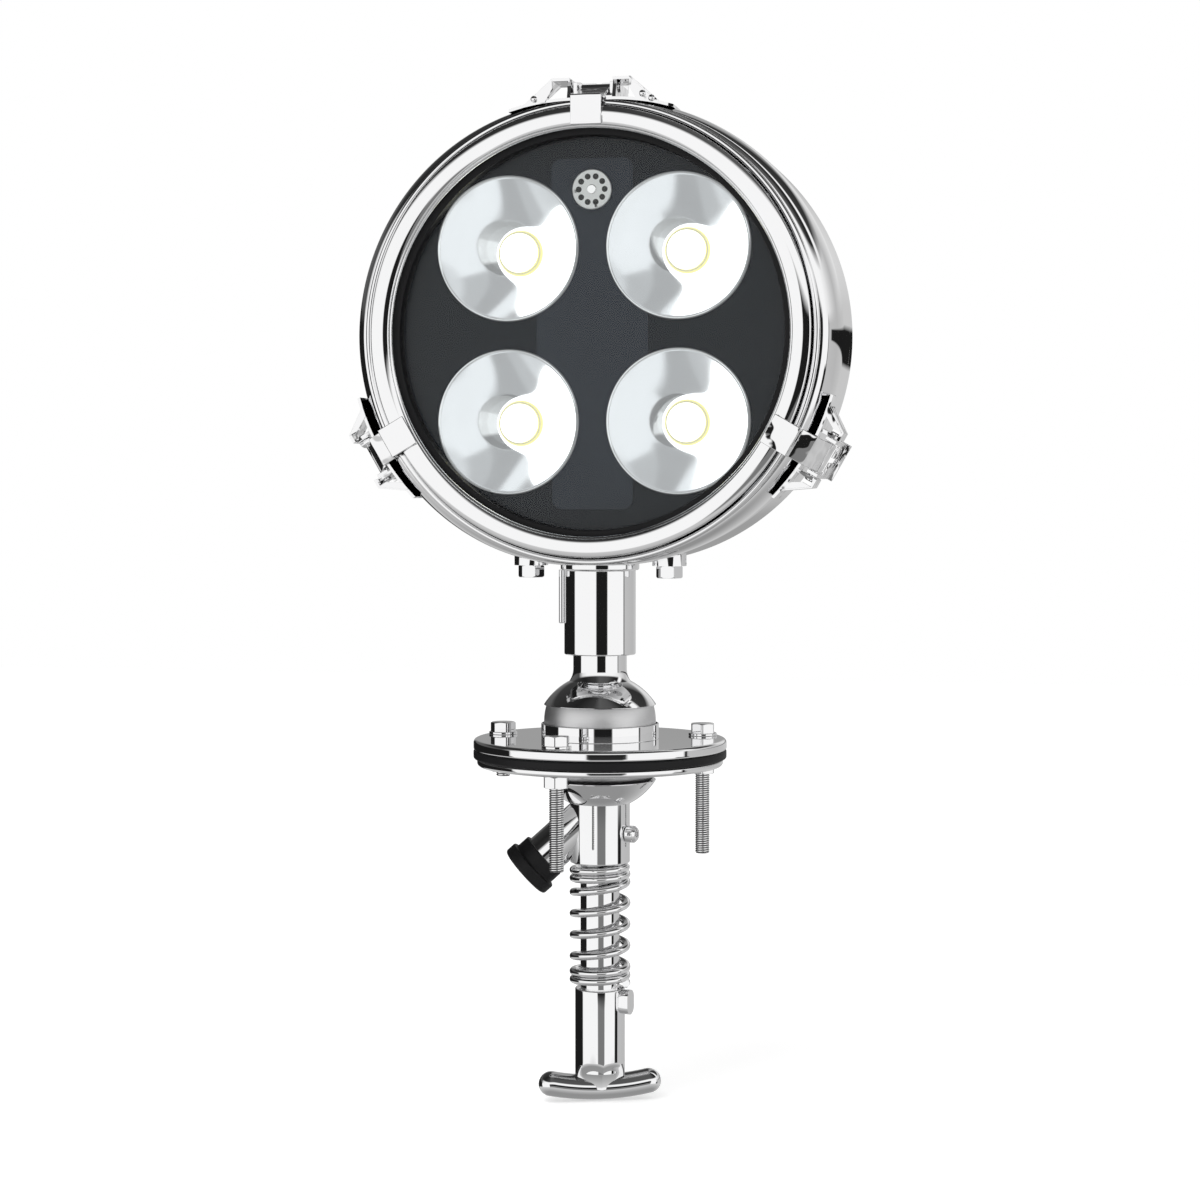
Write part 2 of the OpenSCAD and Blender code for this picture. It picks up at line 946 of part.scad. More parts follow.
// Second bead, with the pocket that the front ring and panel seat in
module drum_rim() {
  seat = panel_back;
  color("silver")
    at_lamp()
      rotate_extrude()
        union() {
          translate([rim_r - rim_bead_r, drum_front + rim_bead_r])
            circle(r = rim_bead_r);
          translate([rim_in, drum_front])
            square([rim_r - rim_bead_r - rim_in, rim_bead_r]);
          translate([rim_in, seat - rim_plate_t])
            square([1.6, drum_front - seat + rim_plate_t + 0.5]);
          translate([rim_seat_r, seat - rim_plate_t])
            square([rim_in - rim_seat_r + 0.5, rim_plate_t]);
        }
}

module rear_cover() {
  lip = 8;
  color("silver")
    at_lamp()
      oval_turn()
        difference() {
          union() {
            translate([0, cover_back])
              square([drum_r - cover_bend, cover_bend]);
            translate([drum_r - cover_bend, cover_back + cover_bend])
              intersection() {
                circle(r = cover_bend);
                translate([0, -cover_bend])
                  square(cover_bend);
              }
            translate([0, cover_back + cover_bend])
              square([drum_r, -drum_back - cover_back - cover_bend]);
            translate([drum_r - cover_bend - lip, -drum_back - over])
              square([cover_bend + lip - drum_wall - seat_gap / 2, lip]);
          }
          translate([-over, cover_back + drum_wall])
            square([drum_r - cover_bend + over, cover_depth + lip + over]);
          translate([drum_r - cover_bend, cover_back + cover_bend])
            circle(r = cover_bend - drum_wall);
          translate([-over, cover_back + cover_bend])
            square([drum_r - 2 * drum_wall - seat_gap / 2 + over, cover_depth + lip]);
        }
}

module rear_screws() {
  color("silver")
    at_lamp()
      for (turn = [30 : 60 : 330])
        rotate(turn)
          translate([drum_r - cover_bend - 5, 0, cover_back])
            rotate([180, 0, 0])
              disc(3.4, 2.2, 0.9, 0.2);
}

module bezel_ring() {
  color("silver")
    at_lamp()
      rotate_extrude()
        union() {
          translate([bezel_r - bead_r, bezel_front - bead_r])
            circle(r = bead_r);
          translate([opening_r + 1.5, lip_back])
            square([bezel_r - bead_r - opening_r - 1.5, 4.8]);
          translate([opening_r, lip_back])
            square([2, 3.6]);
          translate([opening_r + 1.8, lip_back + 3.4])
            circle(r = 1.8);
          translate([skirt_in, panel_back])
            square([bezel_r - skirt_in - edge, bezel_front - bead_r - panel_back]);
        }
}

module front_glass() {
  color([0.8, 0.9, 0.95, 0.3])
    at_lamp()
      translate([0, 0, glass_back])
        cylinder(r = glass_r, h = glass_t);
}

module glass_gasket() {
  color([0.05, 0.05, 0.05])
    at_lamp()
      difference() {
        lamp_ring(pad_in, pad_r, panel_front, lip_back);
        lamp_ring(0, glass_r + press_gap, glass_back - press_gap, glass_back + glass_t + press_gap);
      }
}

module mirror_holes(gap) {
  for (i = [0 : 3])
    at_mirror(i)
      translate([0, 0, panel_back - over])
        cylinder(r = mirror_r + gap, h = panel_t + strip_t + 2 * over);
}

module mask_panel() {
  color([0.18, 0.2, 0.23])
    at_lamp()
      difference() {
        translate([0, 0, panel_back])
          cylinder(r = panel_r, h = panel_t);
        mirror_holes(seat_gap);
      }
}

// Bare film down the middle of the panel, with a wider plate at its centre
module label_strip() {
  corner = strip_w / 8;
  color([0.22, 0.24, 0.28])
    at_lamp()
      difference() {
        translate([0, 0, panel_front])
          linear_extrude(strip_t)
            union() {
              square([strip_w, strip_h - 2 * corner], center = true);
              square([strip_w - 2 * corner, strip_h], center = true);
              for (side = [-1, 1], end = [-1, 1])
                translate([side * (strip_w / 2 - corner), end * (strip_h / 2 - corner)])
                  circle(r = corner);
              square([plate_w, plate_h], center = true);
            }
        mirror_holes(seat_gap);
      }
}

module vent_disc() {
  face = panel_front + strip_t;
  color("lightgray")
    at_lamp()
      translate([0, vent_up, face])
        difference() {
          disc(vent_d / 2, 1.5, 0.4, 0.2);
          for (k = [0 : vent_holes - 1])
            rotate(360 * k / vent_holes)
              translate([vent_d * 0.33, 0, 0.6])
                cylinder(r = vent_d * 0.075, h = 2);
        }
}

// Paraboloid bowl, open at the emitter, held behind the panel by a flange
module reflector(i) {
  steps = 9;
  step = (mirror_r - mirror_wall - socket_r) / steps;
  front = panel_front + mirror_lip;
  curve = [for (k = [0 : steps]) [socket_r + k * step, mirror_vertex + dish(socket_r + k * step)]];
  back = [for (p = [steps : -1 : 0]) curve[p] + [mirror_wall, -0.3 * p / steps]];
  color("whitesmoke")
    at_lamp()
      at_mirror(i)
        union() {
          rotate_extrude()
            polygon(concat(curve, back));
          difference() {
            translate([0, 0, panel_back - 3])
              cylinder(r = mirror_r + 1.8, h = 3 - press_gap);
            translate([0, 0, panel_back - 4])
              cylinder(r = mirror_r - 1.5 * mirror_wall, h = 5);
          }
        }
}

module led_boards() {
  color("darkgreen")
    at_lamp()
      for (i = [0 : 3])
        at_mirror(i)
          translate([0, 0, board_back])
            cylinder(r = socket_r + 3, h = board_t);
}

module led_emitters() {
  foot = 1.2;
  steps = 8;
  angles = [for (k = [0 : steps - 1]) 90 * k / steps];
  lens = concat([for (a = angles) [emitter_r * cos(a), foot + (emitter_h - foot) * sin(a)]], [[0, emitter_h]]);
  color("lightyellow")
    at_lamp()
      for (i = [0 : 3])
        at_mirror(i)
          translate([0, 0, board_front])
            rotate_extrude($fn = 48)
              polygon(concat([[0, 0], [emitter_r, 0]], lens));
}

module heat_sink() {
  color("darkgray")
    at_lamp() {
      translate([0, 0, board_back - sink_t])
        cylinder(r = sink_r, h = sink_t);
      intersection() {
        translate([0, 0, board_back - sink_t - fin_h])
          cylinder(r = sink_r, h = fin_h + over);
        for (k = [-(fin_count - 1) / 2 : (fin_count - 1) / 2])
          translate([k * fin_pitch - fin_t / 2, -sink_r / 2, board_back - sink_t - fin_h])
            cube([fin_t, 2 * sink_r, fin_h + over / 2]);
      }
    }
}

module driver_box() {
  color([0.15, 0.15, 0.16])
    at_lamp()
      translate([-driver_w / 2, -sink_r / 2 - driver_h - sink_t, board_back - sink_t - driver_t])
        cube([driver_w, driver_h, driver_t]);
}

// Latches

module latch_foot(i) {
  intersection() {
    oval_bar(drum_r + sheet_t, base_back - over, base_front + over);
    at_latch(i)
      translate([-drum_r / 4, -foot_of(i) - 3, base_back - 2 * over])
        cube([drum_r / 2, 2 * foot_of(i) + 6, base_front + 4 * over]);
  }
}

// One side: slanted leg with a shelf, a front cheek and the ear of the pivot
module latch_leg(i) {
  crown = crown_of(i);
  outer = foot_of(i) + 2;
  low = leg_w(i, outer);
  inset = sheet_t / 4;
  translate([0, 0, base_back])
    linear_extrude(base_front - base_back)
      polygon([
        [low, outer], [latch_h, crown], [latch_h, ear_u + inset],
        [latch_h - sheet_t, ear_u + inset], [latch_h - sheet_t, crown - 0.5], [low, outer - 2]
      ]);
  translate([0, 0, base_front - sheet_t])
    linear_extrude(cheek_front - base_front + sheet_t)
      polygon([
        [low, outer - 1], [latch_h - sheet_t / 2, crown - inset],
        [latch_h - 6, crown - 0.5], [-3, crown + 5]
      ]);
  across(ear_u, ear_t)
    polygon([
      [sheet_t / 2, base_back + inset], [latch_h - inset, base_back + inset],
      [latch_h - inset, base_front - 4], [sheet_t / 2, base_front - inset]
    ]);
}

module latch_base(i) {
  color("silver")
    at_lamp()
      difference() {
        union() {
          latch_foot(i);
          at_latch(i)
            both_sides()
              latch_leg(i);
        }
        oval_bar(drum_r, base_back - over, cheek_front + over);
        at_latch(i)
          translate([pivot_w, 0, pivot_a])
            rotate([90, 0, 0])
              cylinder(r = pivot_r + press_gap, h = 2 * (ear_u + ear_t + over), center = true);
      }
}

// Midway between the leg and the housing
module rivet(i, u) {
  translate([(leg_w(i, u) + drum_w(i, u - rivet_r)) / 2, u, cheek_front])
    disc(rivet_r, rivet_h, 0.7, 0.1);
}

module latch_rivets() {
  color("silver")
    at_lamp()
      at_latch(0) {
        for (u = left_rivets)
          rivet(0, u);
        mirror([0, 1, 0])
          for (u = right_rivets)
            rivet(0, u);
      }
}

module latch_pivots() {
  color("silver")
    at_lamp()
      for (i = [0 : latch_count - 1])
        at_latch(i)
          both_sides()
            translate([pivot_w, lever_u - 0.2, pivot_a])
              rotate([-90, 0, 0]) {
                cylinder(r = pivot_r, h = ear_u + ear_t - lever_u + 0.5);
                translate([0, 0, ear_u + ear_t - lever_u + 0.2 + press_gap])
                  disc(pivot_r + 1, 1.2, 0.4, 0.1);
              }
}

module latch_lever(i) {
  tail = -24;
  web = 3;
  split = 1.6;
  width = 2 * (lever_u + lever_t);
  color("silver")
    at_lamp()
      at_latch(i)
        difference() {
          union() {
            both_sides()
              across(lever_u, lever_t)
                polygon([
                  [pivot_w - 3.5, pivot_a + 3.5], [pivot_w + 3, pivot_a + 3.5], [latch_h, link_a],
                  [latch_h, tail], [latch_h - 4, tail], [pivot_w - 3.5, link_a - 4]
                ]);
            translate([latch_h - 1.5, -width / 2, tail])
              cube([1.5, width, web - tail]);
            translate([latch_h - 1.5, -width / 2, tail - 1.5])
              cube([4, width, 1.6]);
          }
          translate([latch_h - 2, -split, tail + 5])
            cube([3, 2 * split, web - tail]);
          translate([pivot_w, 0, pivot_a])
            rotate([90, 0, 0])
              cylinder(r = pivot_r + pin_gap, h = 2 * width, center = true);
          translate([pivot_w, 0, link_a])
            rotate([90, 0, 0])
              cylinder(r = link_r + press_gap, h = 2 * width, center = true);
        }
}

module link_pin(i) {
  color("silver")
    at_lamp()
      at_latch(i)
        translate([pivot_w, 0, link_a])
          rotate([90, 0, 0])
            cylinder(r = link_r, h = 2 * (lever_u + lever_t), center = true);
}

module latch_claw(i) {
  tip_w = -drum_oval * abs(oval_side(i) * cos(latch_bearings[i])) - drum_r + opening_r + 1.5;
  bead_w = -bead_drop(i) + claw_gap;
  face = bezel_front + claw_gap;
  rise_a = drum_front + rim_bead_d - 2;
  eye_r = link_r + 1.6;
  color("silver")
    at_lamp()
      at_latch(i)
        difference() {
          union() {
            across(-claw_w / 2, claw_w)
              polygon([
                [tip_w, face], [bead_w, face], [bead_w, rise_a], [seat_gap, drum_front + seat_gap],
                [pivot_w - 1.2, pivot_a], [pivot_w - 1.2, link_a], [pivot_w + 0.6, link_a],
                [pivot_w + 0.6, pivot_a], [sheet_t + 0.6, drum_front + 1],
                [bead_w + sheet_t, rise_a + 1], [bead_w + sheet_t, face + sheet_t - 0.5],
                [bead_w + sheet_t - 0.5, face + sheet_t], [tip_w, face + sheet_t]
              ]);
            translate([pivot_w, 0, link_a])
              rotate([90, 0, 0])
                cylinder(r = eye_r, h = claw_w, center = true);
          }
          translate([pivot_w, 0, link_a])
            rotate([90, 0, 0])
              cylinder(r = link_r + pin_gap, h = 2 * claw_w, center = true);
        }
}

flange_plate();
seat_collar();
lower_seat();
roof_gasket();
backing_ring();
roof_bolts();
bolt_washers();
roof_nuts();
ball_seat_ring();
cup_seal_ring();
clamp_cup();
clamp_collar();
cable_branch();
branch_cap();
guide_screw();
clamp_spring();
column_tube();
swivel_ball();
dome_cap();
neck_tube();
head_sleeve();
side_pin();
saddle_bolts();
saddle_washers();
mount_bracket();
drum_shell();
drum_rim();
rear_cover();
rear_screws();
bezel_ring();
front_glass();
glass_gasket();
mask_panel();
label_strip();
vent_disc();
reflector(0);  // reflector_1
reflector(1);  // reflector_2
reflector(2);  // reflector_3
reflector(3);  // reflector_4
led_boards();
led_emitters();
heat_sink();
driver_box();
handle_tube();
handle_bar();
handle_key();
latch_base(0);  // latch_base_1
latch_base(1);  // latch_base_2
latch_base(2);  // latch_base_3
latch_rivets();
latch_pivots();
latch_lever(0);  // latch_lever_1
latch_lever(1);  // latch_lever_2
latch_lever(2);  // latch_lever_3
link_pin(0);  // link_pin_1
link_pin(1);  // link_pin_2
link_pin(2);  // link_pin_3
latch_claw(0);  // latch_claw_1
latch_claw(1);  // latch_claw_2
latch_claw(2);  // latch_claw_3
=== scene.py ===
"""Roof-mounted marine searchlight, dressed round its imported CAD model.

Every piece is a surface worked out as whole numpy arrays in the CAD frame: +Z runs up the column,
the lamp looks along -Y, and lengths are metres.
"""

import json
import math

import bmesh
import bpy
import numpy as np
from bpy.props import FloatProperty, FloatVectorProperty, IntProperty, PointerProperty
from bpy.types import Operator, Panel, PropertyGroup
from mathutils import Matrix, Vector


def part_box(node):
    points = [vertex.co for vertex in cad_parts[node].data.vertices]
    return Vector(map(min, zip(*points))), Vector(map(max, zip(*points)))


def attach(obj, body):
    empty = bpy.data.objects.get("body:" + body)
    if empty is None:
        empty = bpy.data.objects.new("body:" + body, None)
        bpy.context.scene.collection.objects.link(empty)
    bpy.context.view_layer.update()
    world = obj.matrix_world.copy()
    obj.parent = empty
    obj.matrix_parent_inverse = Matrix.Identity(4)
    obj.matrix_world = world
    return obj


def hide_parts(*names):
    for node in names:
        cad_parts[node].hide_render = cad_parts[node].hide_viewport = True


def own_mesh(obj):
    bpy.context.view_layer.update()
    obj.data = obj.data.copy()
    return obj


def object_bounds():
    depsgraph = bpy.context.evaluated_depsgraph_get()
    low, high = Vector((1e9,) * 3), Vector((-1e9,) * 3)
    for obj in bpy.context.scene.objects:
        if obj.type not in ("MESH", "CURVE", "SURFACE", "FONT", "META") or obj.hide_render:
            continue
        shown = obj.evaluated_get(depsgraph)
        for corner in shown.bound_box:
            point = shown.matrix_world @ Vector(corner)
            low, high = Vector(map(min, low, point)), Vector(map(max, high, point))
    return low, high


bl_info = {
    "name": "Marine searchlight",
    "version": (1, 0, 0),
    "blender": (4, 5, 0),
    "location": "3D View > Sidebar > Searchlight",
    "description": "Dresses the CAD frame of a roof-mounted searchlight",
    "category": "Object",
}

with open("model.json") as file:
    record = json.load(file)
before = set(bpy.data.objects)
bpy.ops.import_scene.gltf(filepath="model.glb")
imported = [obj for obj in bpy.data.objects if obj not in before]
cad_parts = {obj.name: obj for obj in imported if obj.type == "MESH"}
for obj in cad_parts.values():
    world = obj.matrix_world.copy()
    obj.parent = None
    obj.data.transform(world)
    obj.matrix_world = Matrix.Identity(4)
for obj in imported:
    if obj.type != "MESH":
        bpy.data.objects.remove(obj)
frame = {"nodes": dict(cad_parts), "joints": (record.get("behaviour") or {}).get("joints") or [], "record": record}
CAD_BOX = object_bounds()
MM = 0.001
TURN = 2 * math.pi


# Places read from the frame

def middle(node):
    """Centre of a CAD node's box."""
    low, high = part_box(node)
    return (low + high) / 2


def radius(node):
    """Half the width of a CAD node that is turned about the column."""
    low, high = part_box(node)
    return (high.x - low.x) / 2


def heights(node):
    """Lowest and highest point of a CAD node."""
    low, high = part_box(node)
    return low.z, high.z


def ahead(node):
    """Rear and front of a CAD node, measured forwards from the column axis."""
    low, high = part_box(node)
    return -high.y, -low.y


HEAD_Z = middle("bezel_ring").z
BALL_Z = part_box("seat_collar")[1].z + 1 * MM
LAMP = Matrix(((1, 0, 0, 0), (0, 0, -1, 0), (0, 1, 0, HEAD_Z), (0, 0, 0, 1)))
COLUMN = Matrix.Identity(4)
SNUG = 0.02 * MM  # gap between a tube and what is pressed onto it


def lamp_r(node):
    """Radius of a CAD node that is turned about the lamp's axis."""
    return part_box(node)[1].z - HEAD_Z


def lamp_place(node):
    """Frame of the lamp, moved to the middle of a CAD node."""
    centre = middle(node)
    return LAMP @ Matrix.Translation((centre.x, centre.z - HEAD_Z, 0))


def along(origin, direction):
    """Frame at a point whose third axis runs along a direction."""
    return Matrix.Translation(origin) @ Vector(direction).to_track_quat("Z", "Y").to_matrix().to_4x4()


# Sizes and colours that a user would change

def length(name, about, mm):
    """Length setting with its default in millimetres."""
    return FloatProperty(name=name, description=about, default=mm * MM, unit="LENGTH")


def angle(name, about, degrees):
    """Angle setting with its default in degrees."""
    return FloatProperty(name=name, description=about, default=math.radians(degrees), subtype="ANGLE")


def number(name, about, value):
    """Plain number, whole where its default is."""
    kind = IntProperty if isinstance(value, int) else FloatProperty
    return kind(name=name, description=about, default=value)


def colour(name, about, *rgb):
    """Colour setting."""
    return FloatVectorProperty(name=name, description=about, default=rgb, subtype="COLOR")


class RoofSizes(PropertyGroup):
    """Sizes of the roof fitting."""

    backing_hole: length("Backing hole", "Radius of the hole in the backing ring", 41)
    bolt_pcd: length("Bolt circle", "Diameter of the circle of roof bolts", 120)
    bolt_turn: angle("Front bolt", "Bearing of the long front roof bolt", 259)
    short_turn: angle("Short bolt", "Turn from the front bolt back to the short one", 90)
    side_turn: angle("Side bolt", "Turn from the front bolt on to the long side one", 127)
    stub: length("Bolt stub", "How far the short bolt comes out of its nut", 2.5)
    flats: length("Across flats", "Width across flats of the hexagon heads and nuts", 13)
    hex_turn: angle("Hexagon turn", "Turn of each hexagon from its bolt's bearing", 14)
    thread_d: length("Thread", "Outer diameter of the bolt thread", 8)
    pitch: length("Pitch", "Pitch of the bolt thread", 1.25)
    thread_depth: length("Thread depth", "Depth of the bolt thread", 0.45)
    washer_r: length("Washer", "Outer radius of the washers", 8)
    washer_hole: length("Washer hole", "Radius of the hole in the washers", 4.2)
    nut_hole: length("Nut hole", "Radius of the hole in the nuts", 3.2)


class ColumnSizes(PropertyGroup):
    """Sizes of the ball joint, column, spring and handle."""

    tube_wall: length("Tube wall", "Wall of the column tube and the cable branch", 2)
    neck_r: length("Neck radius", "Radius of the neck above the dome", 15)
    cap_neck_r: length("Dome neck", "Radius of the dome and cup at the narrow end", 17.2)
    flare_h: length("Flare height", "Height of the flare at the foot of the neck", 6.8)
    sleeve_r: length("Sleeve radius", "Radius of the sleeve under the lamp", 20)
    sleeve_rim: length("Sleeve rim", "Height of the rim at the top of the sleeve", 3)
    pin_r: length("Pin radius", "Radius of the thin pin beside the sleeve", 1.5)
    collar_r: length("Collar radius", "Radius of the clamp collar", 16.8)
    branch_slope: angle("Branch slope", "Slope of the cable branch from vertical", 48)
    left_bearing: angle("Branch bearing", "Bearing of the cable branch", 192)
    branch_r: length("Branch radius", "Radius of the cable branch", 12)
    branch_l: length("Branch length", "Length of the cable branch from the column axis", 50)
    cap_grip: length("Cap grip", "Length of the rubber cap over the branch", 8)
    cap_wall: length("Cap wall", "Wall of the rubber cap round the branch", 1.8)
    cap_lip_r: length("Cap lip", "Radius of the rubber cap's lip", 16)
    cap_lip_t: length("Cap thickness", "Thickness of the rubber cap's lip", 7)
    cap_hole_r: length("Cap hole", "Radius of the cable hole in the rubber cap", 4)
    spring_r: length("Spring radius", "Radius of the spring at the middle of its wire", 15)
    wire_r: length("Wire radius", "Radius of the spring wire", 2.2)
    open_coils: number("Open coils", "Number of open coils in the spring", 4)
    end_coils: number("End coils", "Number of closed coils at each end of the spring", 2)
    grip_r: length("Handle radius", "Radius of the handle tube", 14)
    pinch_h: length("Pinch", "Height of the flats where the handle tube is pinched onto the bar", 16)
    bar_r: length("Bar radius", "Radius of the handle bar", 7)
    bar_bend: length("Bar bend", "Radius of the handle bar's curve", 140)
    bar_l: length("Bar length", "Length of the handle bar over its round ends", 70)
    bar_bearing: angle("Bar bearing", "Bearing of the handle bar", 20)


class LampSizes(PropertyGroup):
    """Sizes of the lamp."""

    oval: length("Oval", "Extra half width of the oval housing", 9.5)
    wall: length("Wall", "Wall of the housing", 1.5)
    shoulder: length("Shoulder", "Largest height of the housing's front shoulder", 10)
    shoulder_run: number("Shoulder run", "Depth of the shoulder as a multiple of its height", 2.6)
    cover_bend: length("Cover bend", "Radius of the bend round the rear cover", 18)
    band_w: length("Ring band", "Width of the front ring's bright band", 10.4)
    band_bend: length("Band bend", "Radius of the band's shallow curve", 14)
    band_edge: length("Band edge", "Radius of the band's edges", 1.2)
    opening_r: length("Opening", "Radius of the clear opening", 110.7)
    lip_r: length("Lip bend", "Radius of the front ring's inner lip", 1.8)
    pad_w: length("Channel", "How far the rubber channel shows inside the opening", 3.2)
    mirror_r: length("Reflector", "Radius of each reflector's mouth", 40)
    mirror_focus: length("Focus", "Focal length of the reflectors", 12)
    mirror_wall: length("Reflector wall", "Wall of each reflector", 1.2)
    emitter_r: length("Emitter", "Radius of each light emitter", 11)
    emitter_foot: length("Emitter foot", "Height of the straight foot of each emitter", 1.2)
    boss_r: length("Breather boss", "Radius of the boss in the middle of the breather", 2.6)
    boss_h: length("Boss height", "Height of the breather's boss", 0.7)
    hole_count: number("Breather holes", "Number of holes in the breather", 10)
    hole_ring: length("Hole circle", "Radius of the circle of breather holes", 7.26)
    hole_r: length("Hole radius", "Radius of each breather hole", 1.6)


class FinishColours(PropertyGroup):
    """Colours of the finishes."""

    polished: colour("Polished steel", "Mirror-polished stainless steel", 0.93, 0.93, 0.935)
    satin: colour("Satin steel", "Satin stainless steel", 0.84, 0.84, 0.845)
    rubber: colour("Rubber", "Black rubber", 0.005, 0.005, 0.0055)
    panel: colour("Panel", "Dark slate panel", 0.0092, 0.0116, 0.0162)
    film: colour("Film", "Bare film on the panel", 0.0275, 0.032, 0.042)
    mirror: colour("Mirror", "Plated reflector", 0.94, 0.955, 0.98)
    phosphor: colour("Phosphor", "Rim of the light emitter", 0.5, 0.45, 0.12)
    emitter: colour("Emitter", "Face of the light emitter", 0.97, 0.97, 0.95)
    nylon: colour("Nylon", "Natural nylon", 0.72, 0.7, 0.62)
    casting: colour("Casting", "Plain aluminium", 0.5, 0.5, 0.51)
    floor: colour("Floor", "Pale studio floor", 0.82, 0.82, 0.82)


class StudioSizes(PropertyGroup):
    """Camera and light."""

    bearing: angle("Camera bearing", "Bearing of the camera from straight ahead of the lamp", 12)
    distance: length("Camera distance", "Distance of the camera from the column axis", 1372)
    camera_z: length("Camera height", "Height of the camera above the roof face", 152)
    aim_z: length("Aim", "Height on the column axis at the middle of the picture", 88.5)
    view_angle: angle("View angle", "Angle of view across the picture", 27.5)
    soft_light: number("Soft light", "Strength of the room's light on matt surfaces", 0.75)
    key_power: number("Key power", "Power of the soft lamp overhead", 14.0)


def sizes(group):
    """The scene's settings of one group."""
    return getattr(bpy.context.scene, "searchlight_" + group)


# Outlines: arrays of (radius, height) points

ARC_STEPS = 6
GUARD = 0.35 * MM  # from the end of a fillet to the point that keeps the flat flat


def filleted(*corners):
    """Outline through (radius, height, fillet) corners.
    A corner with a fillet becomes an arc tangent to both of its sides, with a point just outside each
    end of the arc so that the flats beside it stay flat in shading. Corners without one stay sharp."""
    points = []
    for i, (r, h, fillet) in enumerate(corners):
        here = np.array((r, h))
        if not fillet:
            points.append(here[None])
            continue
        sides = [np.array(corners[k % len(corners)][:2]) - here for k in (i - 1, i + 1)]
        lengths = [np.hypot(*side) for side in sides]
        back, on = [side / run for side, run in zip(sides, lengths)]
        half = 0.5 * math.acos(np.clip(back @ on, -1, 1))
        cut = min(fillet / math.tan(half), 0.45 * lengths[0], 0.45 * lengths[1])
        centre = here + (back + on) / np.hypot(*(back + on)) * cut / math.cos(half)
        ends = [here + back * cut - centre, here + on * cut - centre]
        sweep = math.pi - 2 * half
        t = np.linspace(0, sweep, ARC_STEPS + 1)[:, None]
        bend = centre + (np.sin(sweep - t) * ends[0] + np.sin(t) * ends[1]) / math.sin(sweep)
        guard = min(GUARD, 0.04 * min(lengths))
        points += [(bend[0] + back * guard)[None], bend, (bend[-1] + on * guard)[None]]
    return np.concatenate(points)


def ring_outline(hole, edge, low, high, fillets=(0, 0, 0, 0)):
    """Section of a flat ring, with fillets in mm from its lower inner corner round to its upper inner one."""
    corners = (hole, low), (edge, low), (edge, high), (hole, high)
    return filleted(*[(*corner, fillet * MM) for corner, fillet in zip(corners, fillets)])


def arc(centre, r, start, end, steps=24):
    """Circular arc about (radius, height), from one angle to another in degrees."""
    t = np.radians(np.linspace(start, end, steps + 1))
    return np.stack((centre[0] + r * np.cos(t), centre[1] + r * np.sin(t)), -1)


def sphere_arc(centre_h, r, first_h, last_h, steps=40):
    """Meridian of a sphere on the axis, between two heights."""
    t = np.linspace(math.asin((first_h - centre_h) / r), math.asin((last_h - centre_h) / r), steps + 1)
    return np.stack((r * np.cos(t), centre_h + r * np.sin(t)), -1)


def outline(*parts):
    """One outline from arrays of points and single points."""
    return np.concatenate([np.atleast_2d(np.array(part, float)) for part in parts])


# Surfaces: grids of points with two parameters, as (points, wraps along the outline)

WIDE_STEPS = 192  # round the plates, ball and hexagons
LAMP_STEPS = 256  # round the lamp


def whole_turn(steps):
    """Bearings of one turn."""
    return np.linspace(0, TURN, steps, endpoint=False)


def two_halves(steps):
    """Bearings of a right and a left half turn, and the side of each: 1 for right, -1 for left."""
    half = np.linspace(-math.pi / 2, math.pi / 2, steps // 2 + 1)
    return np.concatenate((half, half + math.pi)), np.repeat((1.0, -1.0), half.size)


def about(r, t, h, shift=0.0):
    """Points at the radius r, bearing t and height h about an axis, moved sideways by a shift."""
    return np.stack((r * np.cos(t) + shift, r * np.sin(t), h + 0 * t), -1)


def set_at(grid, place):
    """Points of a grid carried into a frame."""
    turn = np.array(place.to_3x3())
    return grid @ turn.T + np.array(place.translation)


def turned(profile, place=COLUMN, steps=144, oval=0.0, loop=True):
    """Surface of revolution: the outline point (r, h) becomes (r cos t, r sin t, h) for a whole turn t.
    With an oval half width s the right half turn moves out by +s and the left one by -s, so straight runs
    join them at the top and bottom."""
    r, h = profile.T[:, :, None]
    t, side = two_halves(steps) if oval else (whole_turn(steps), 0.0)
    return set_at(about(r, t, h, oval * side), place), loop


def shouldered(wall, lip, back, front, thick, oval, shoulder, run, share=0.85, rows=24):
    """Oval drum with a round hole in its front: at bearing t the front plate is wall - lip + oval |cos t| wide.
    A quarter ellipse joins it to the side, as high as a share of that, up to the shoulder's limit, and run times
    as deep. The inside follows it, one wall thickness in."""
    t, side = two_halves(LAMP_STEPS)
    s = np.linspace(math.pi / 2, 0, rows)[:, None]
    hole = np.full((1, t.size), lip)
    shift = np.array([oval] * (rows + 1) + [0])[:, None] * side
    skins = []
    for inset in (0, thick):
        bend = np.minimum(share * (wall - inset - lip + oval * np.abs(np.cos(t))), shoulder)
        r = wall - inset - bend * (1 - np.sin(s))
        h = front - inset - run * bend * (1 - np.cos(s))
        r = np.concatenate((r[:1], r, hole))
        h = np.concatenate((0 * hole + back, h, 0 * hole + front - inset))
        skins.append(about(r, t, h, shift))
    return set_at(np.concatenate((skins[0], skins[1][::-1])), LAMP), True


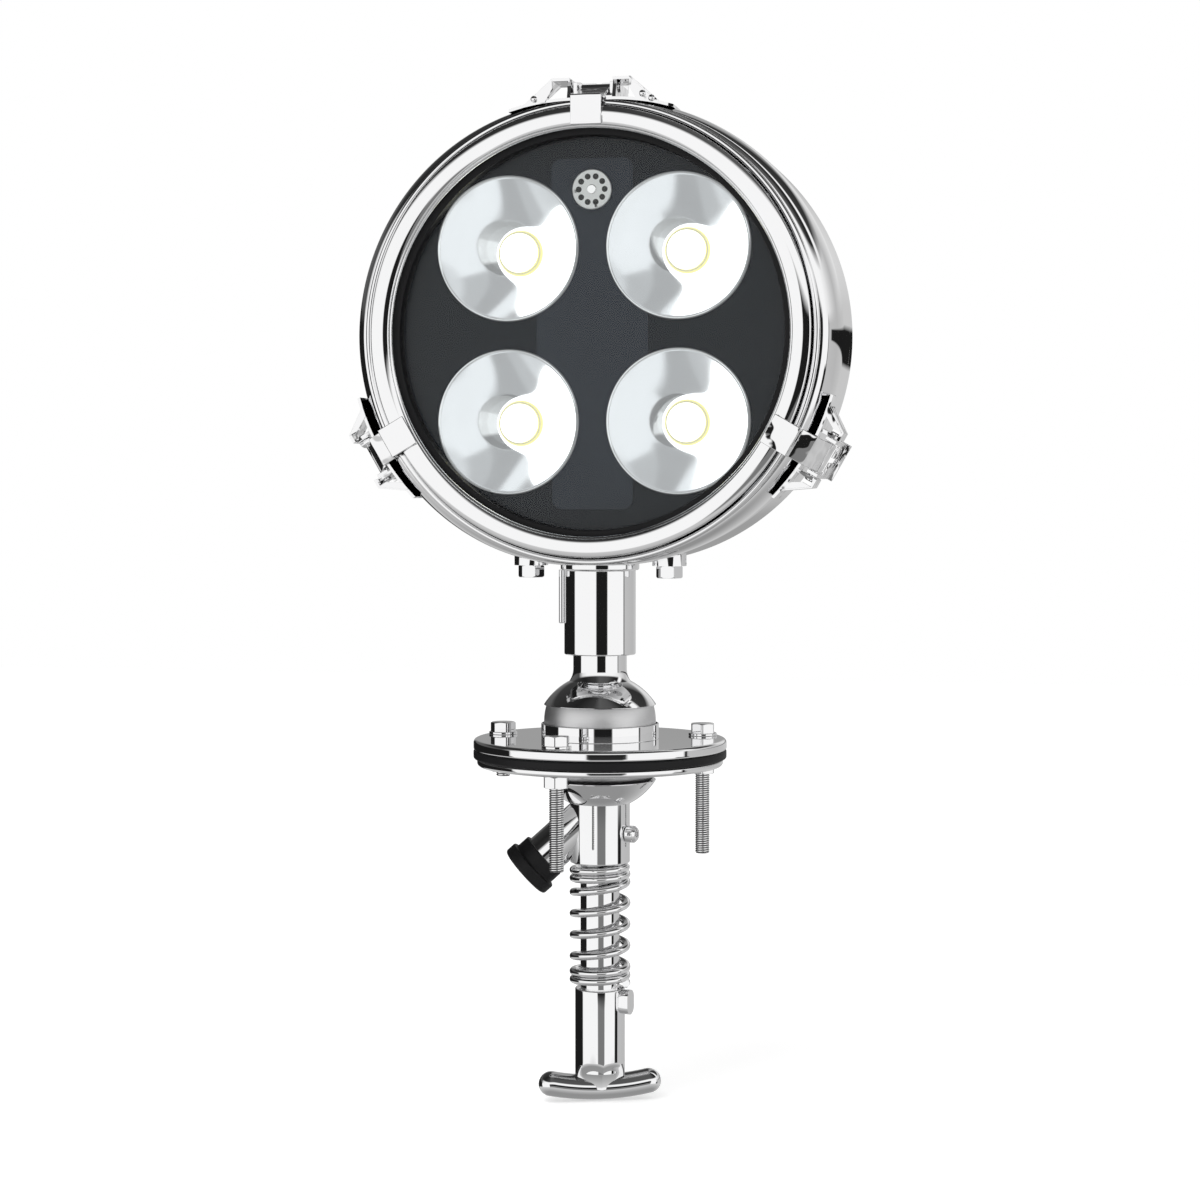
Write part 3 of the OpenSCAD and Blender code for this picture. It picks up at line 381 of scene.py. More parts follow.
def hexagon(across, low, high, place, chamfers=(True, True), hole=0.0, power=20, land=0.97):
    """Hexagon bar: at bearing t the wall is at (across / 2) / (sum of max(0, cos(t - a))^p)^(1/p) over its six
    bearings a, where the power p rounds the corners a little. A cone of 30 degrees takes the corners off the
    chosen ends and leaves a round land there. A hole makes it a nut."""
    flat = across / 2
    t = whole_turn(WIDE_STEPS)
    sides = np.cos(t[:, None] - math.pi / 6 - math.pi / 3 * np.arange(6))
    wall = flat / (np.clip(sides, 0, 1) ** power).sum(1) ** (1 / power)
    slope = (wall - land * flat) * math.tan(math.pi / 6)
    rows = [(hole, low), (land * flat, low), (wall, low + slope * chamfers[0]),
            (wall, high - slope * chamfers[1]), (land * flat, high), (hole, high)]
    return set_at(np.stack([about(r, t, h) for r, h in rows]), place), hole > 0


def threaded(r, low, high, pitch, depth, place, samples=8, steps=36):
    """Threaded bar: the radius falls by depth times the upper half of a triangle wave of height / pitch less
    bearing / turn, which leaves flat crests between the grooves, and by depth at both ends."""
    h = np.linspace(low, high, int((high - low) / pitch * samples))[:, None]
    t = whole_turn(steps)
    wave = np.clip(2 * np.abs(2 * np.mod(h / pitch - t / TURN, 1) - 1) - 1, 0, 1)
    taper = np.clip(np.minimum(h - low, high - h) / depth, 0, 1)
    bar = about(r - depth * (1 - taper * (1 - wave)), t, h)
    ends = [about(0.0, t, end)[None] for end in (low, high)]
    return set_at(np.concatenate((ends[0], bar, ends[1])), place), False


def coil(r, wire, turns, rise, low, steps=40, sides=14):
    """Spring: a circle of the wire's radius carried round the axis while its height follows rise(turns).
    The ends close to a point on the wire's centre line."""
    n = np.linspace(0, turns, int(turns * steps) + 1)
    n = np.concatenate((n[:1], n, n[-1:]))[:, None]
    s = whole_turn(sides)
    thick = np.full(n.shape, wire)
    thick[[0, -1]] = 0
    return about(r + thick * np.cos(s), TURN * n, low + wire + rise(n) + thick * np.sin(s)), False


def bent_bar(r, bend, span, place, steps=64, sides=40):
    """Round-ended bar bent to an arc: at the distance q along the arc the section is a circle of radius r,
    which falls to nothing as a quarter circle over the last r of each end."""
    run = span / 2 - r
    dome = np.linspace(0, math.pi / 2, 13)
    tail = run + r * np.sin(dome)
    q = np.concatenate((-tail[::-1], np.linspace(-run, run, steps)[1:-1], tail))
    section = np.concatenate((np.cos(dome)[::-1], np.ones(steps - 2), np.cos(dome)))[:, None] * r
    s = whole_turn(sides)
    turn = (q / bend)[:, None]
    out = bend + section * np.cos(s)
    grid = np.stack((out * np.sin(turn), section * np.sin(s) + 0 * turn, bend - out * np.cos(turn)), -1)
    return set_at(grid, place), False


KEEL = math.radians(25)
PINCH_CURVE = 2.2  # power of the facets' curve over the height
PINCH_POWER = 26  # how sharply the facets meet the tube
PINCH_EDGE = 0.8 * MM


def pinched(wall, bore, flat, span, height, place, steps=288, rows=64):
    """Tube pinched at its foot: at bearing t and height h the wall is the lesser of the tube's radius and
    d / (|sin t| cos k + |cos t| sin k), rounded off by a power where they meet. That is a keel front and back,
    whose two facets lean by k. From the foot to the pinch's top d curves out from the flat's half width to beyond
    the tube's radius. The bore stops above the pinch."""
    t = whole_turn(steps)
    rim = arc((wall - PINCH_EDGE, span - PINCH_EDGE), PINCH_EDGE, 0, 90, 8)
    h = np.concatenate((np.linspace(0, height, rows), (height + 0.3 * MM,), rim[:, 1]))[:, None]
    top = np.concatenate((np.full(rows + 1, wall), rim[:, 0]))[:, None]
    depth = flat + (wall + 1 * MM - flat) * (h / height) ** PINCH_CURVE
    facets = depth / (np.abs(np.sin(t)) * math.cos(KEEL) + np.abs(np.cos(t)) * math.sin(KEEL))
    r = top * (1 + (top / facets) ** PINCH_POWER) ** (-1 / PINCH_POWER)
    inner = ((bore, span), (bore, height), (0, height))
    r = np.concatenate((0 * r[:1], r, *[np.full((1, steps), x) for x, _ in inner]))
    h = np.concatenate((h[:1], h, *[np.full((1, 1), z) for _, z in inner]))
    return set_at(about(r, t, h), place), False


# Meshes from grids

POLE_WELD, CAD_WELD = 1e-7, 2e-6  # points of a grid or CAD node this close become one
FLAT_ANGLE = math.radians(0.3)  # CAD triangles within it become one flat


def grid_faces(points, loop):
    """Quads of a grid that always wraps round the axis and wraps along the outline where loop is set,
    turned so that the volume they enclose is positive."""
    n, m = points.shape[:2]
    i, j = np.meshgrid(np.arange(n if loop else n - 1), np.arange(m), indexing="ij")
    k, l = (i + 1) % n, (j + 1) % m
    faces = np.stack((i * m + j, k * m + j, k * m + l, i * m + l), -1).reshape(-1, 4)
    flat = points.reshape(-1, 3)
    a, b, c, d = (flat[faces[:, x]] - flat.mean(0) for x in range(4))
    volume = np.einsum("ij,ij->", a, np.cross(b, c)) + np.einsum("ij,ij->", a, np.cross(c, d))
    return faces if volume > 0 else faces[:, ::-1]


def piece(name, grids, look, body, replaced=(), sharp=32.0):
    """Object from grids: one mesh, welded at its poles, smooth except at edges sharper than an angle in
    degrees."""
    points, faces, count = [], [], 0
    for grid, loop in grids:
        faces.append(grid_faces(grid, loop) + count)
        points.append(grid.reshape(-1, 3))
        count += points[-1].shape[0]
    mesh = bpy.data.meshes.new(name)
    mesh.from_pydata(np.concatenate(points).tolist(), [], np.concatenate(faces).tolist())
    return dressed(name, mesh, look, body, replaced, sharp)


def dressed(name, mesh, look, body, replaced, sharp):
    """Welds and shades a mesh, and hangs its object on a CAD body with a finish."""
    work = bmesh.new()
    work.from_mesh(mesh)
    bmesh.ops.remove_doubles(work, verts=work.verts, dist=POLE_WELD)
    bmesh.ops.dissolve_degenerate(work, edges=work.edges, dist=POLE_WELD)
    work.to_mesh(mesh)
    work.free()
    mesh.polygons.foreach_set("use_smooth", np.ones(len(mesh.polygons), bool))
    mesh.set_sharp_from_angle(angle=math.radians(sharp))
    mesh.materials.append(look)
    thing = bpy.data.objects.new(name, mesh)
    bpy.context.scene.collection.objects.link(thing)
    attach(thing, body)
    if replaced:
        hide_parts(*replaced)
    return thing


def body_of(node):
    """CAD body that carries a node."""
    bodies = frame["record"]["behaviour"]["bodies"]
    return next(body for body, nodes in bodies.items() if node in nodes)


def softened(node, look, sharp=32.0, bevel=0.0):
    """Copy of a CAD node with its triangles welded and its flats joined, so that round walls shade smoothly
    and edges can be rounded."""
    mesh = frame["nodes"][node].data.copy()
    mesh.materials.clear()
    work = bmesh.new()
    work.from_mesh(mesh)
    bmesh.ops.remove_doubles(work, verts=work.verts, dist=CAD_WELD)
    bmesh.ops.dissolve_limit(work, angle_limit=FLAT_ANGLE, verts=work.verts, edges=work.edges)
    work.to_mesh(mesh)
    work.free()
    thing = dressed("trim_" + node, mesh, look, body_of(node), (node,), sharp)
    if bevel:
        edge = thing.modifiers.new("Rounded edges", "BEVEL")
        edge.width = bevel
        edge.segments = 3
        edge.limit_method = "ANGLE"
        edge.angle_limit = math.radians(sharp)
        edge.harden_normals = True
    return thing


def mark(thing, name, values):
    """Float attribute on the points of an object, for its finish."""
    made = thing.data.attributes.new(name, "FLOAT", "POINT")
    made.data.foreach_set("value", np.asarray(values, np.float32))


def from_axes(thing, centres, plane):
    """Distance of each point of an object from the nearest of some axes, seen along them in the plane of two
    coordinates."""
    points = np.zeros(len(thing.data.vertices) * 3)
    thing.data.vertices.foreach_get("co", points)
    apart = points.reshape(-1, 1, 3)[..., plane] - np.array(centres)[:, plane]
    return np.linalg.norm(apart, axis=-1).min(1)


# Finishes

class Value:
    """A shader socket that takes part in Python arithmetic: each operation adds a Math node."""

    def __init__(self, graph, socket):
        self.graph, self.socket = graph, socket

    def maths(self, operation, *values):
        return self.graph.node("ShaderNodeMath", {"operation": operation}, dict(enumerate(values)))

    def __add__(self, other):
        return self.maths("ADD", self, other)

    def __mul__(self, other):
        return self.maths("MULTIPLY", self, other)

    def __truediv__(self, other):
        return self.maths("DIVIDE", self, other)

    __radd__, __rmul__ = __add__, __mul__

    def between(self, low, high):
        """0 before low, 1 past high, and a straight run between."""
        return self.graph.node(
            "ShaderNodeMapRange", {"clamp": True}, {"Value": self, "From Min": low, "From Max": high})


class Graph:
    """A node tree that is filled by calls."""

    def __init__(self, tree):
        self.tree = tree
        tree.nodes.clear()

    def node(self, kind, settings=None, inputs=None, out=0):
        """Adds a node: its settings first, with a ramp's stops as (place, colour) pairs, then the values or
        links of its sockets. Gives one of its outputs."""
        made = self.tree.nodes.new(kind)
        for key, value in (settings or {}).items():
            if key == "stops":
                self.set_stops(made.color_ramp, value)
            else:
                setattr(made, key, value)
        for key, value in (inputs or {}).items():
            if isinstance(value, Value):
                self.tree.links.new(value.socket, made.inputs[key])
            else:
                made.inputs[key].default_value = value
        return Value(self, made.outputs[out]) if made.outputs else None

    def set_stops(self, ramp, stops):
        """Gives a colour ramp its stops, each a place and a level of grey."""
        while len(ramp.elements) > 1:
            ramp.elements.remove(ramp.elements[-1])
        for i, (place, level) in enumerate(stops):
            element = ramp.elements[0] if i == 0 else ramp.elements.new(place)
            element.position = place
            element.color = grey(level)

    def attribute(self, name):
        """Float attribute of the object, 0 where it has none."""
        return self.node("ShaderNodeAttribute", {"attribute_name": name}, out="Fac")

    def noise(self, scale, detail=2.0, stretch=(1, 1, 1)):
        """Smooth noise from 0 to 1 on Object coordinates, scaled per axis."""
        place = self.node("ShaderNodeTexCoord", out="Object")
        place = self.node("ShaderNodeMapping", None, {"Vector": place, "Scale": stretch})
        return self.node("ShaderNodeTexNoise", None, {"Vector": place, "Scale": scale, "Detail": detail})

    def blend(self, factor, first, second):
        """Mix of two colours."""
        return self.node("ShaderNodeMix", {"data_type": "RGBA"}, {0: factor, 6: first, 7: second}, out=2)

    def shades(self, factor, tint, low, high):
        """Mix of two shades of one colour."""
        return self.blend(factor, solid(tint, low), solid(tint, high))

    def bump(self, height, strength, distance):
        """Normal bent by a height in a given depth."""
        return self.node("ShaderNodeBump", None, {"Height": height, "Strength": strength, "Distance": distance})

    def surface(self, **sockets):
        """Principled surface; a socket's name is written with underscores."""
        inputs = {key.replace("_", " "): value for key, value in sockets.items()}
        self.output(self.node("ShaderNodeBsdfPrincipled", None, inputs))

    def output(self, shader, kind="Material"):
        """Ends a tree with its shader."""
        self.node("ShaderNodeOutput" + kind, None, {"Surface": shader})


def grey(level):
    """Opaque grey of one level."""
    return (level, level, level, 1)


def solid(tint, factor=1.0):
    """Opaque colour, made lighter or darker by a factor."""
    return (*[min(1.0, c * factor) for c in tint], 1)


def finish(name, recipe):
    """The material of one slot, made once by its recipe."""
    made = bpy.data.materials.get("finish_" + name)
    if made is None:
        made = bpy.data.materials.new("finish_" + name)
        made.use_nodes = True
        recipe(Graph(made.node_tree), sizes("colours"))
    return made


def polished_steel(g, colours):
    """Mirror polish: faint haze patches in the roughness and a very shallow ripple left by buffing. Where the
    attribute pressed is 1, thin sheet has the deeper waves of its pressing. An attribute on the threads darkens
    their hollows nearly to black: painted shade, partly standing for oil in them."""
    haze = g.noise(35, 3)
    waves = 0.05 * g.noise(22, 1) + g.attribute("pressed") * 5.5 * g.noise(80, 1)
    bright = g.shades(haze, colours.polished, 0.97, 1)
    # Painted shade, partly standing for oil: the thread hollows blend nearly to black.
    g.surface(Base_Color=g.blend(g.attribute("groove"), bright, grey(0.03)), Metallic=1.0,
              Roughness=0.015 + 0.03 * haze, Normal=g.bump(waves, 1.0, 0.4 * MM))


def satin_steel(g, colours):
    """Satin polish: fine lines round the axis, drawn by noise squeezed along it."""
    lines = g.noise(120, 3, stretch=(1, 1, 22))
    g.surface(Base_Color=g.shades(lines, colours.satin, 0.92, 1), Metallic=1.0,
              Roughness=0.36 + 0.14 * lines, Normal=g.bump(lines, 0.12, 0.05 * MM))


def rubber(g, colours):
    """Moulded rubber: fine grain and a slow change of sheen."""
    grain, bloom = g.noise(1400, 4), g.noise(40)
    g.surface(Base_Color=g.shades(bloom, colours.rubber, 1, 1.9), Roughness=0.42 + 0.2 * bloom,
              Normal=g.bump(grain, 0.25, 0.06 * MM), Specular_IOR_Level=0.25)


def panel(g, colours):
    """Gloss-painted panel: slow change of tone and sheen."""
    tone = g.noise(9)
    g.surface(Base_Color=g.shades(tone, colours.panel, 0.9, 1.1), Roughness=0.3 + 0.08 * tone,
              Specular_IOR_Level=0.2)


def film(g, colours):
    """Printed film, left bare: satin, slightly lighter than the panel."""
    tone = g.noise(12)
    g.surface(Base_Color=g.shades(tone, colours.film, 0.95, 1.05), Roughness=0.4 + 0.08 * tone,
              Specular_IOR_Level=0.2)


def reflector(g, colours):
    """Vacuum-plated bowl of a burning lamp: bright, with a slow change of haze. Its emission is a painted cool
    glow that stands in for stray light.
    """
    flow = g.noise(30)
    # The emission paints a glow onto the bowl, which is no lamp.
    g.surface(Base_Color=g.shades(flow, colours.mirror, 0.68, 0.74), Metallic=1.0,
              Roughness=0.04 + 0.06 * flow, Normal=g.bump(flow, 0.04, 0.4 * MM),
              Emission_Color=g.shades(flow, colours.mirror, 0.9, 1), Emission_Strength=0.27)


def emitter(g, colours):
    """Light emitter: white face with a phosphor rim. The attribute rim runs from 0 at the centre to 1 at the
    edge."""
    edge = g.attribute("rim").between(0.985, 0.998)
    phosphor = solid(colours.phosphor)
    g.surface(Base_Color=g.blend(edge, solid(colours.emitter), phosphor), Roughness=0.3 + 0.2 * g.noise(2500),
              Emission_Color=g.blend(edge, grey(1.0), phosphor), Emission_Strength=1.8)


def nylon(g, colours):
    """Natural nylon: waxy, with faint clouding."""
    cloud = g.noise(60)
    g.surface(Base_Color=g.shades(cloud, colours.nylon, 0.94, 1.04), Roughness=0.35 + 0.15 * cloud)


def board(g, colours):
    """White circuit board."""
    weave = g.noise(900)
    g.surface(Base_Color=g.blend(weave, grey(0.74), grey(0.82)), Roughness=0.4 + 0.1 * weave)


def heat_sink(g, colours):
    """Plain cast aluminium: granular."""
    grain = g.noise(700, 3)
    g.surface(Base_Color=g.shades(grain, colours.casting, 0.88, 1.05), Metallic=1.0,
              Roughness=0.38 + 0.2 * grain, Normal=g.bump(grain, 0.2, 0.08 * MM))


def driver(g, colours):
    """Black potted box. Its black also paints the shade in the breather's holes."""
    grain = g.noise(800)
    g.surface(Base_Color=g.blend(grain, grey(0.02), grey(0.035)), Roughness=0.5 + 0.15 * grain)


def glass(g, colours):
    """Clear thin glass: light goes straight through, and a Fresnel share is mirrored."""
    share = g.node("ShaderNodeFresnel", None, {"IOR": 1.46})
    clear = g.node("ShaderNodeBsdfTransparent", None, {"Color": (0.985, 0.995, 0.99, 1)})
    shine = g.node("ShaderNodeBsdfGlossy", None, {"Roughness": 0.0, "Color": grey(1)})
    mirrored = share * (0.25 + 0.06 * g.noise(16))
    g.output(g.node("ShaderNodeMixShader", None, {0: mirrored, 1: clear, 2: shine}))


RECIPES = {recipe.__name__: recipe for recipe in (
    polished_steel, satin_steel, rubber, panel, film, reflector, emitter, nylon, board, heat_sink, driver, glass)}


def coat(slot):
    """The material of a record's slot."""
    return finish(slot, RECIPES[slot])


# Pieces

class SEARCHLIGHT_OT_roof_fitting(Operator):
    """Flange plate, gasket, backing ring and the bright collar round the ball"""

    bl_idname = "searchlight.roof_fitting"
    bl_label = "Roof fitting"

    def execute(self, context):
        steel, clear = coat("polished_steel"), 0.3 * MM
        plates = (
            ("flange_top", "flange_plate", steel, radius("ball_seat_ring") + clear, (0, 1.2, 2, 0.3)),
            ("gasket_pad", "roof_gasket", coat("rubber"), radius("lower_seat") + clear, (0, 1.2, 1.2, 0)),
            ("backing_plate", "backing_ring", steel, sizes("roof").backing_hole, (0.8, 2, 1.2, 0.4)))
        for name, node, look, hole, fillets in plates:
            plate = ring_outline(hole, radius(node), *heights(node), fillets)
            piece(name, [turned(plate, steps=WIDE_STEPS)], look, "base", [node])

        low, high = heights("seat_collar")
        edge = radius("seat_collar")
        ball_gap = 0.9 * MM
        inner = sphere_arc(BALL_Z, radius("swivel_ball") + ball_gap, high, low, 12)
        wall = filleted((inner[-1, 0], low, 0), (edge, low, 0.25 * MM), (edge, high, 0.35 * MM), (*inner[0], 0))
        collar = outline(wall, inner[1:-1])
        piece("bright_collar", [turned(collar, steps=WIDE_STEPS)], steel, "base", ["seat_collar"])
        return {"FINISHED"}


class SEARCHLIGHT_OT_roof_bolts(Operator):
    """Three hexagon roof bolts with threads, washers and nuts"""

    bl_idname = "searchlight.roof_bolts"
    bl_label = "Roof bolts"

    def execute(self, context):
        steel, roof = coat("polished_steel"), sizes("roof")
        washer_z, nut_z = heights("bolt_washers"), heights("roof_nuts")
        reach, top = heights("roof_bolts")
        front, thread_r = roof.bolt_turn, roof.thread_d / 2
        ends = {front - roof.short_turn: nut_z[0] - roof.stub, front: reach, front + roof.side_turn: reach}
        washer = ring_outline(roof.washer_hole, roof.washer_r, *washer_z, (0, 0.3, 0.4, 0))
        heads, threads, washers, nuts, axes = [], [], [], [], []
        for t, end in ends.items():
            at = Matrix.Translation((roof.bolt_pcd / 2 * math.cos(t), roof.bolt_pcd / 2 * math.sin(t), 0))
            turn = at @ Matrix.Rotation(t + roof.hex_turn, 4, "Z")
            axes.append(at.translation)
            heads.append(hexagon(roof.flats, washer_z[1], top, turn, (False, True)))
            threads.append(threaded(thread_r, end, nut_z[1], roof.pitch, roof.thread_depth, at))
            washers.append(turned(washer, at, 72))
            nuts.append(hexagon(roof.flats, *nut_z, turn, hole=roof.nut_hole))
        piece("hex_heads", heads, steel, "base", ["roof_bolts"])
        studs = piece("bolt_threads", threads, steel, "base", sharp=60)
        # The thread hollows get painted shade, partly standing for oil, from their depth.
        depth = (thread_r - from_axes(studs, axes, (0, 1))) / roof.thread_depth
        mark(studs, "groove", np.clip(1.6 * depth, 0, 1))
        piece("plain_washers", washers, steel, "base", ["bolt_washers"])
        piece("hex_nuts", nuts, steel, "base", ["roof_nuts"])
        return {"FINISHED"}


def cap_arc(rim_r, neck_r, rim_z, neck_z, steps=40):
    """Meridian of the sphere through a rim and a narrow end on one axis, from the rim to the narrow end."""
    rise = neck_z - rim_z
    centre = rim_z - (rim_r ** 2 - neck_r ** 2 - rise ** 2) / (2 * rise)
    return sphere_arc(centre, math.hypot(rim_r, rim_z - centre), rim_z, neck_z, steps)


class SEARCHLIGHT_OT_ball_joint(Operator):
    """Satin ball, the dome over it and the mirrored cup under the roof"""

    bl_idname = "searchlight.ball_joint"
    bl_label = "Ball joint"

    def execute(self, context):
        steel, neck = coat("polished_steel"), sizes("column").cap_neck_r
        tube = radius("column_tube") + SNUG
        low, high = heights("swivel_ball")
        skin = sphere_arc(BALL_Z, radius("swivel_ball"), low, high, 56)
        ball = outline(skin, (tube, high), (tube, low))
        piece("satin_ball", [turned(ball, steps=WIDE_STEPS)], coat("satin_steel"), "head", ["swivel_ball"])

        low, high = heights("dome_cap")
        rim = radius("dome_cap")
        skin = cap_arc(rim, neck, low + 0.4 * MM, high)
        dome = outline((tube, low), (rim - 1.6 * MM, low), (rim - 0.25 * MM, low), (rim, low + 0.2 * MM), skin,
                       (tube, high))
        piece("bright_dome", [turned(dome, steps=WIDE_STEPS)], steel, "head", ["dome_cap"])

        low, high = heights("clamp_cup")
        rim = radius("clamp_cup")
        skin = cap_arc(rim, neck, high - 0.4 * MM, low)
        lip, bowl_depth = rim - 1.4 * MM, 9 * MM
        bowl = sphere_arc(BALL_Z, math.hypot(lip, BALL_Z - high), high - bowl_depth, high, 16)
        cup = outline((tube, bowl[0, 1]), bowl, (rim - 0.3 * MM, high), (rim, high - 0.2 * MM), skin, (tube, low))
        piece("mirrored_cup", [turned(cup, steps=WIDE_STEPS)], steel, "clamp", ["clamp_cup"])
        return {"FINISHED"}


class SEARCHLIGHT_OT_column(Operator):
    """Column tube, flared neck, sleeve under the lamp and the thin pin beside it"""

    bl_idname = "searchlight.column"
    bl_label = "Column"

    def execute(self, context):
        steel, column = coat("polished_steel"), sizes("column")
        outer, neck_r = radius("column_tube"), column.neck_r
        tube = ring_outline(outer - column.tube_wall, outer, *heights("column_tube"), (0, 0.4, 0.4, 0))
        piece("inner_column", [turned(tube)], steel, "head", ["column_tube"])

        foot, top = heights("neck_tube")
        wide, flare_top = column.cap_neck_r - neck_r, foot + column.flare_h
        bend = (wide ** 2 + column.flare_h ** 2) / (2 * wide)
        sweep = math.degrees(math.asin(column.flare_h / bend))
        flare = arc((neck_r + bend, flare_top), bend, 180 + sweep, 180, 20)
        neck = outline((outer, foot), flare, (neck_r, flare_top + 0.5 * MM), (neck_r, top), (outer, top))
        piece("flared_neck", [turned(neck)], steel, "head", ["neck_tube"])

        low, high = heights("head_sleeve")
        rim, wall = radius("head_sleeve"), column.sleeve_r
        step = heights("drum_shell")[0] - column.sleeve_rim
        sleeve = filleted((neck_r, low, 0), (wall, low, 0.7 * MM), (wall, step, 0.5 * MM), (rim, step, 0.9 * MM),
                          (rim, high, 0.2 * MM), (neck_r, high, 0))
        piece("lamp_sleeve", [turned(sleeve)], steel, "head", ["head_sleeve"])

        centre = middle("side_pin")
        at = Matrix.Translation((centre.x, centre.y, 0))
        rod = ring_outline(0, column.pin_r, *heights("side_pin"), (0, 0.6, 0.3, 0))
        piece("thin_pin", [turned(rod, at, 36, loop=False)], steel, "head", ["side_pin"])
        return {"FINISHED"}


class SEARCHLIGHT_OT_clamp(Operator):
    """Clamp collar under the cup with its sloping cable branch, rubber cap and guide screw"""

    bl_idname = "searchlight.clamp"
    bl_label = "Clamp"

    def execute(self, context):
        steel, column = coat("polished_steel"), sizes("column")
        low, high = heights("clamp_collar")
        wall = column.collar_r
        collar = ring_outline(radius("column_tube") + 0.05 * MM, wall, low, high, (0.3, 0.8, 0, 0))
        piece("clamp_sleeve", [turned(collar)], steel, "clamp", ["clamp_collar"])

        slope, bearing = column.branch_slope, column.left_bearing
        edge, end = column.branch_r, column.branch_l
        start = high - 0.5 * MM + wall / math.tan(slope) - edge / math.sin(slope)
        direction = (math.sin(slope) * math.cos(bearing), math.sin(slope) * math.sin(bearing), -math.cos(slope))
        place = along((0, 0, start), direction)
        hidden = 6 * MM
        tube = ring_outline(edge - column.tube_wall, edge, hidden, end, (0, 0, 0.5, 0.4))
        piece("branch_tube", [turned(tube, place, 96)], steel, "clamp", ["cable_branch"])

        grip, lip, hole = edge + column.cap_wall, column.cap_lip_r, column.cap_hole_r
        foot, seat, face = end - column.cap_grip, end + 0.4 * MM, end + column.cap_lip_t
        cap = filleted((edge, foot, 0), (grip, foot, 0.7 * MM), (grip, end, 0.9 * MM), (lip, end, 1.3 * MM),
                       (lip, face, 1.6 * MM), (hole, face, 0.8 * MM), (hole, seat, 0), (edge, seat, 0))
        piece("rubber_cap", [turned(cap, place, 96)], coat("rubber"), "clamp", ["branch_cap"])
        softened("guide_screw", steel, bevel=0.3 * MM)
        return {"FINISHED"}


class SEARCHLIGHT_OT_spring(Operator):
    """Coil spring between the clamp and the handle"""

    bl_idname = "searchlight.spring"
    bl_label = "Spring"

    def execute(self, context):
        column = sizes("column")
        low, high = heights("handle_tube")[1], heights("clamp_collar")[0]
        wire, gap = column.wire_r, 0.1 * MM
        close = 2 * wire + 0.12 * MM
        ends, loose = column.end_coils, column.open_coils
        open_pitch = (high - low - 2 * gap - 2 * wire - 2 * ends * close) / loose

        def rise(n):
            shut = np.minimum(n, ends) + np.maximum(n - ends - loose, 0)
            return close * shut + open_pitch * np.clip(n - ends, 0, loose)

        grid = coil(column.spring_r, wire, loose + 2 * ends, rise, low + gap)
        spring = piece("clamp_coil", [grid], coat("polished_steel"), "clamp", ["clamp_spring"])
        lift = next(j for j in frame["joints"] if j["name"] == "release_lift")["range_m"][1]
        1 - lift / (high - low)
        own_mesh(spring)
        return {"FINISHED"}


class SEARCHLIGHT_OT_handle(Operator):
    """Handle tube, curved bar and the key at the tube's top"""

    bl_idname = "searchlight.handle"
    bl_label = "Handle"

    def execute(self, context):
        steel, column = coat("polished_steel"), sizes("column")
        bar_r = column.bar_r
        low, high = heights("handle_bar")[0] + bar_r, heights("handle_tube")[1]
        place = Matrix.Translation((0, 0, low)) @ Matrix.Rotation(column.bar_bearing, 4, "Z")
        bore, flat = radius("column_tube") + SNUG, bar_r + 0.4 * MM
        tube = pinched(column.grip_r, bore, flat, high - low, column.pinch_h, place)
        piece("grip_tube", [tube], steel, "head", ["handle_tube"])
        bar = bent_bar(bar_r, column.bar_bend, column.bar_l, place)
        piece("grip_bar", [bar], steel, "head", ["handle_bar"])
        softened("handle_key", steel, bevel=0.4 * MM)
        return {"FINISHED"}


class SEARCHLIGHT_OT_housing(Operator):
    """Oval drum, its second bead, the dished rear cover and the fixings under the lamp"""

    bl_idname = "searchlight.housing"
    bl_label = "Housing"

    def execute(self, context):
        steel, lamp = coat("polished_steel"), sizes("lamp")
        back, front = ahead("drum_shell")
        low, high = heights("drum_shell")
        wall, thin, ring_r = (high - low) / 2, lamp.wall, lamp_r("bezel_ring")
        skin = shouldered(wall, ring_r + 2.1 * MM, back, front, thin, lamp.oval, lamp.shoulder, lamp.shoulder_run)
        piece("drum_skin", [skin], steel, "head", ["drum_shell"])

        rear, top = ahead("drum_rim")
        bead, inner = (top - front) / 2, ring_r + 0.5 * MM
        sheet = inner + 1.6 * MM
        ring = outline(arc((lamp_r("drum_rim") - bead, top - bead), bead, -90, 150, 30), (inner, top - 2 * bead),
                       (inner, rear), (sheet, rear), (sheet, front))
        piece("second_bead", [turned(ring, LAMP, LAMP_STEPS)], steel, "head", ["drum_rim"])

        tail, bend = ahead("rear_cover")[0], lamp.cover_bend
        dish = filleted((0, tail, 0), (wall, tail, bend), (wall, back, 0.4 * MM), (wall - thin, back, 0),
                        (wall - thin, tail + thin, bend - thin), (0, tail + thin, 0))
        cover = turned(dish, LAMP, LAMP_STEPS, lamp.oval, loop=False)
        piece("rear_dish", [cover], steel, "head", ["rear_cover"])
        for node, bevel in (("rear_screws", 0), ("saddle_washers", 0), ("saddle_bolts", 0.3 * MM)):
            softened(node, steel, bevel=bevel)
        return {"FINISHED"}


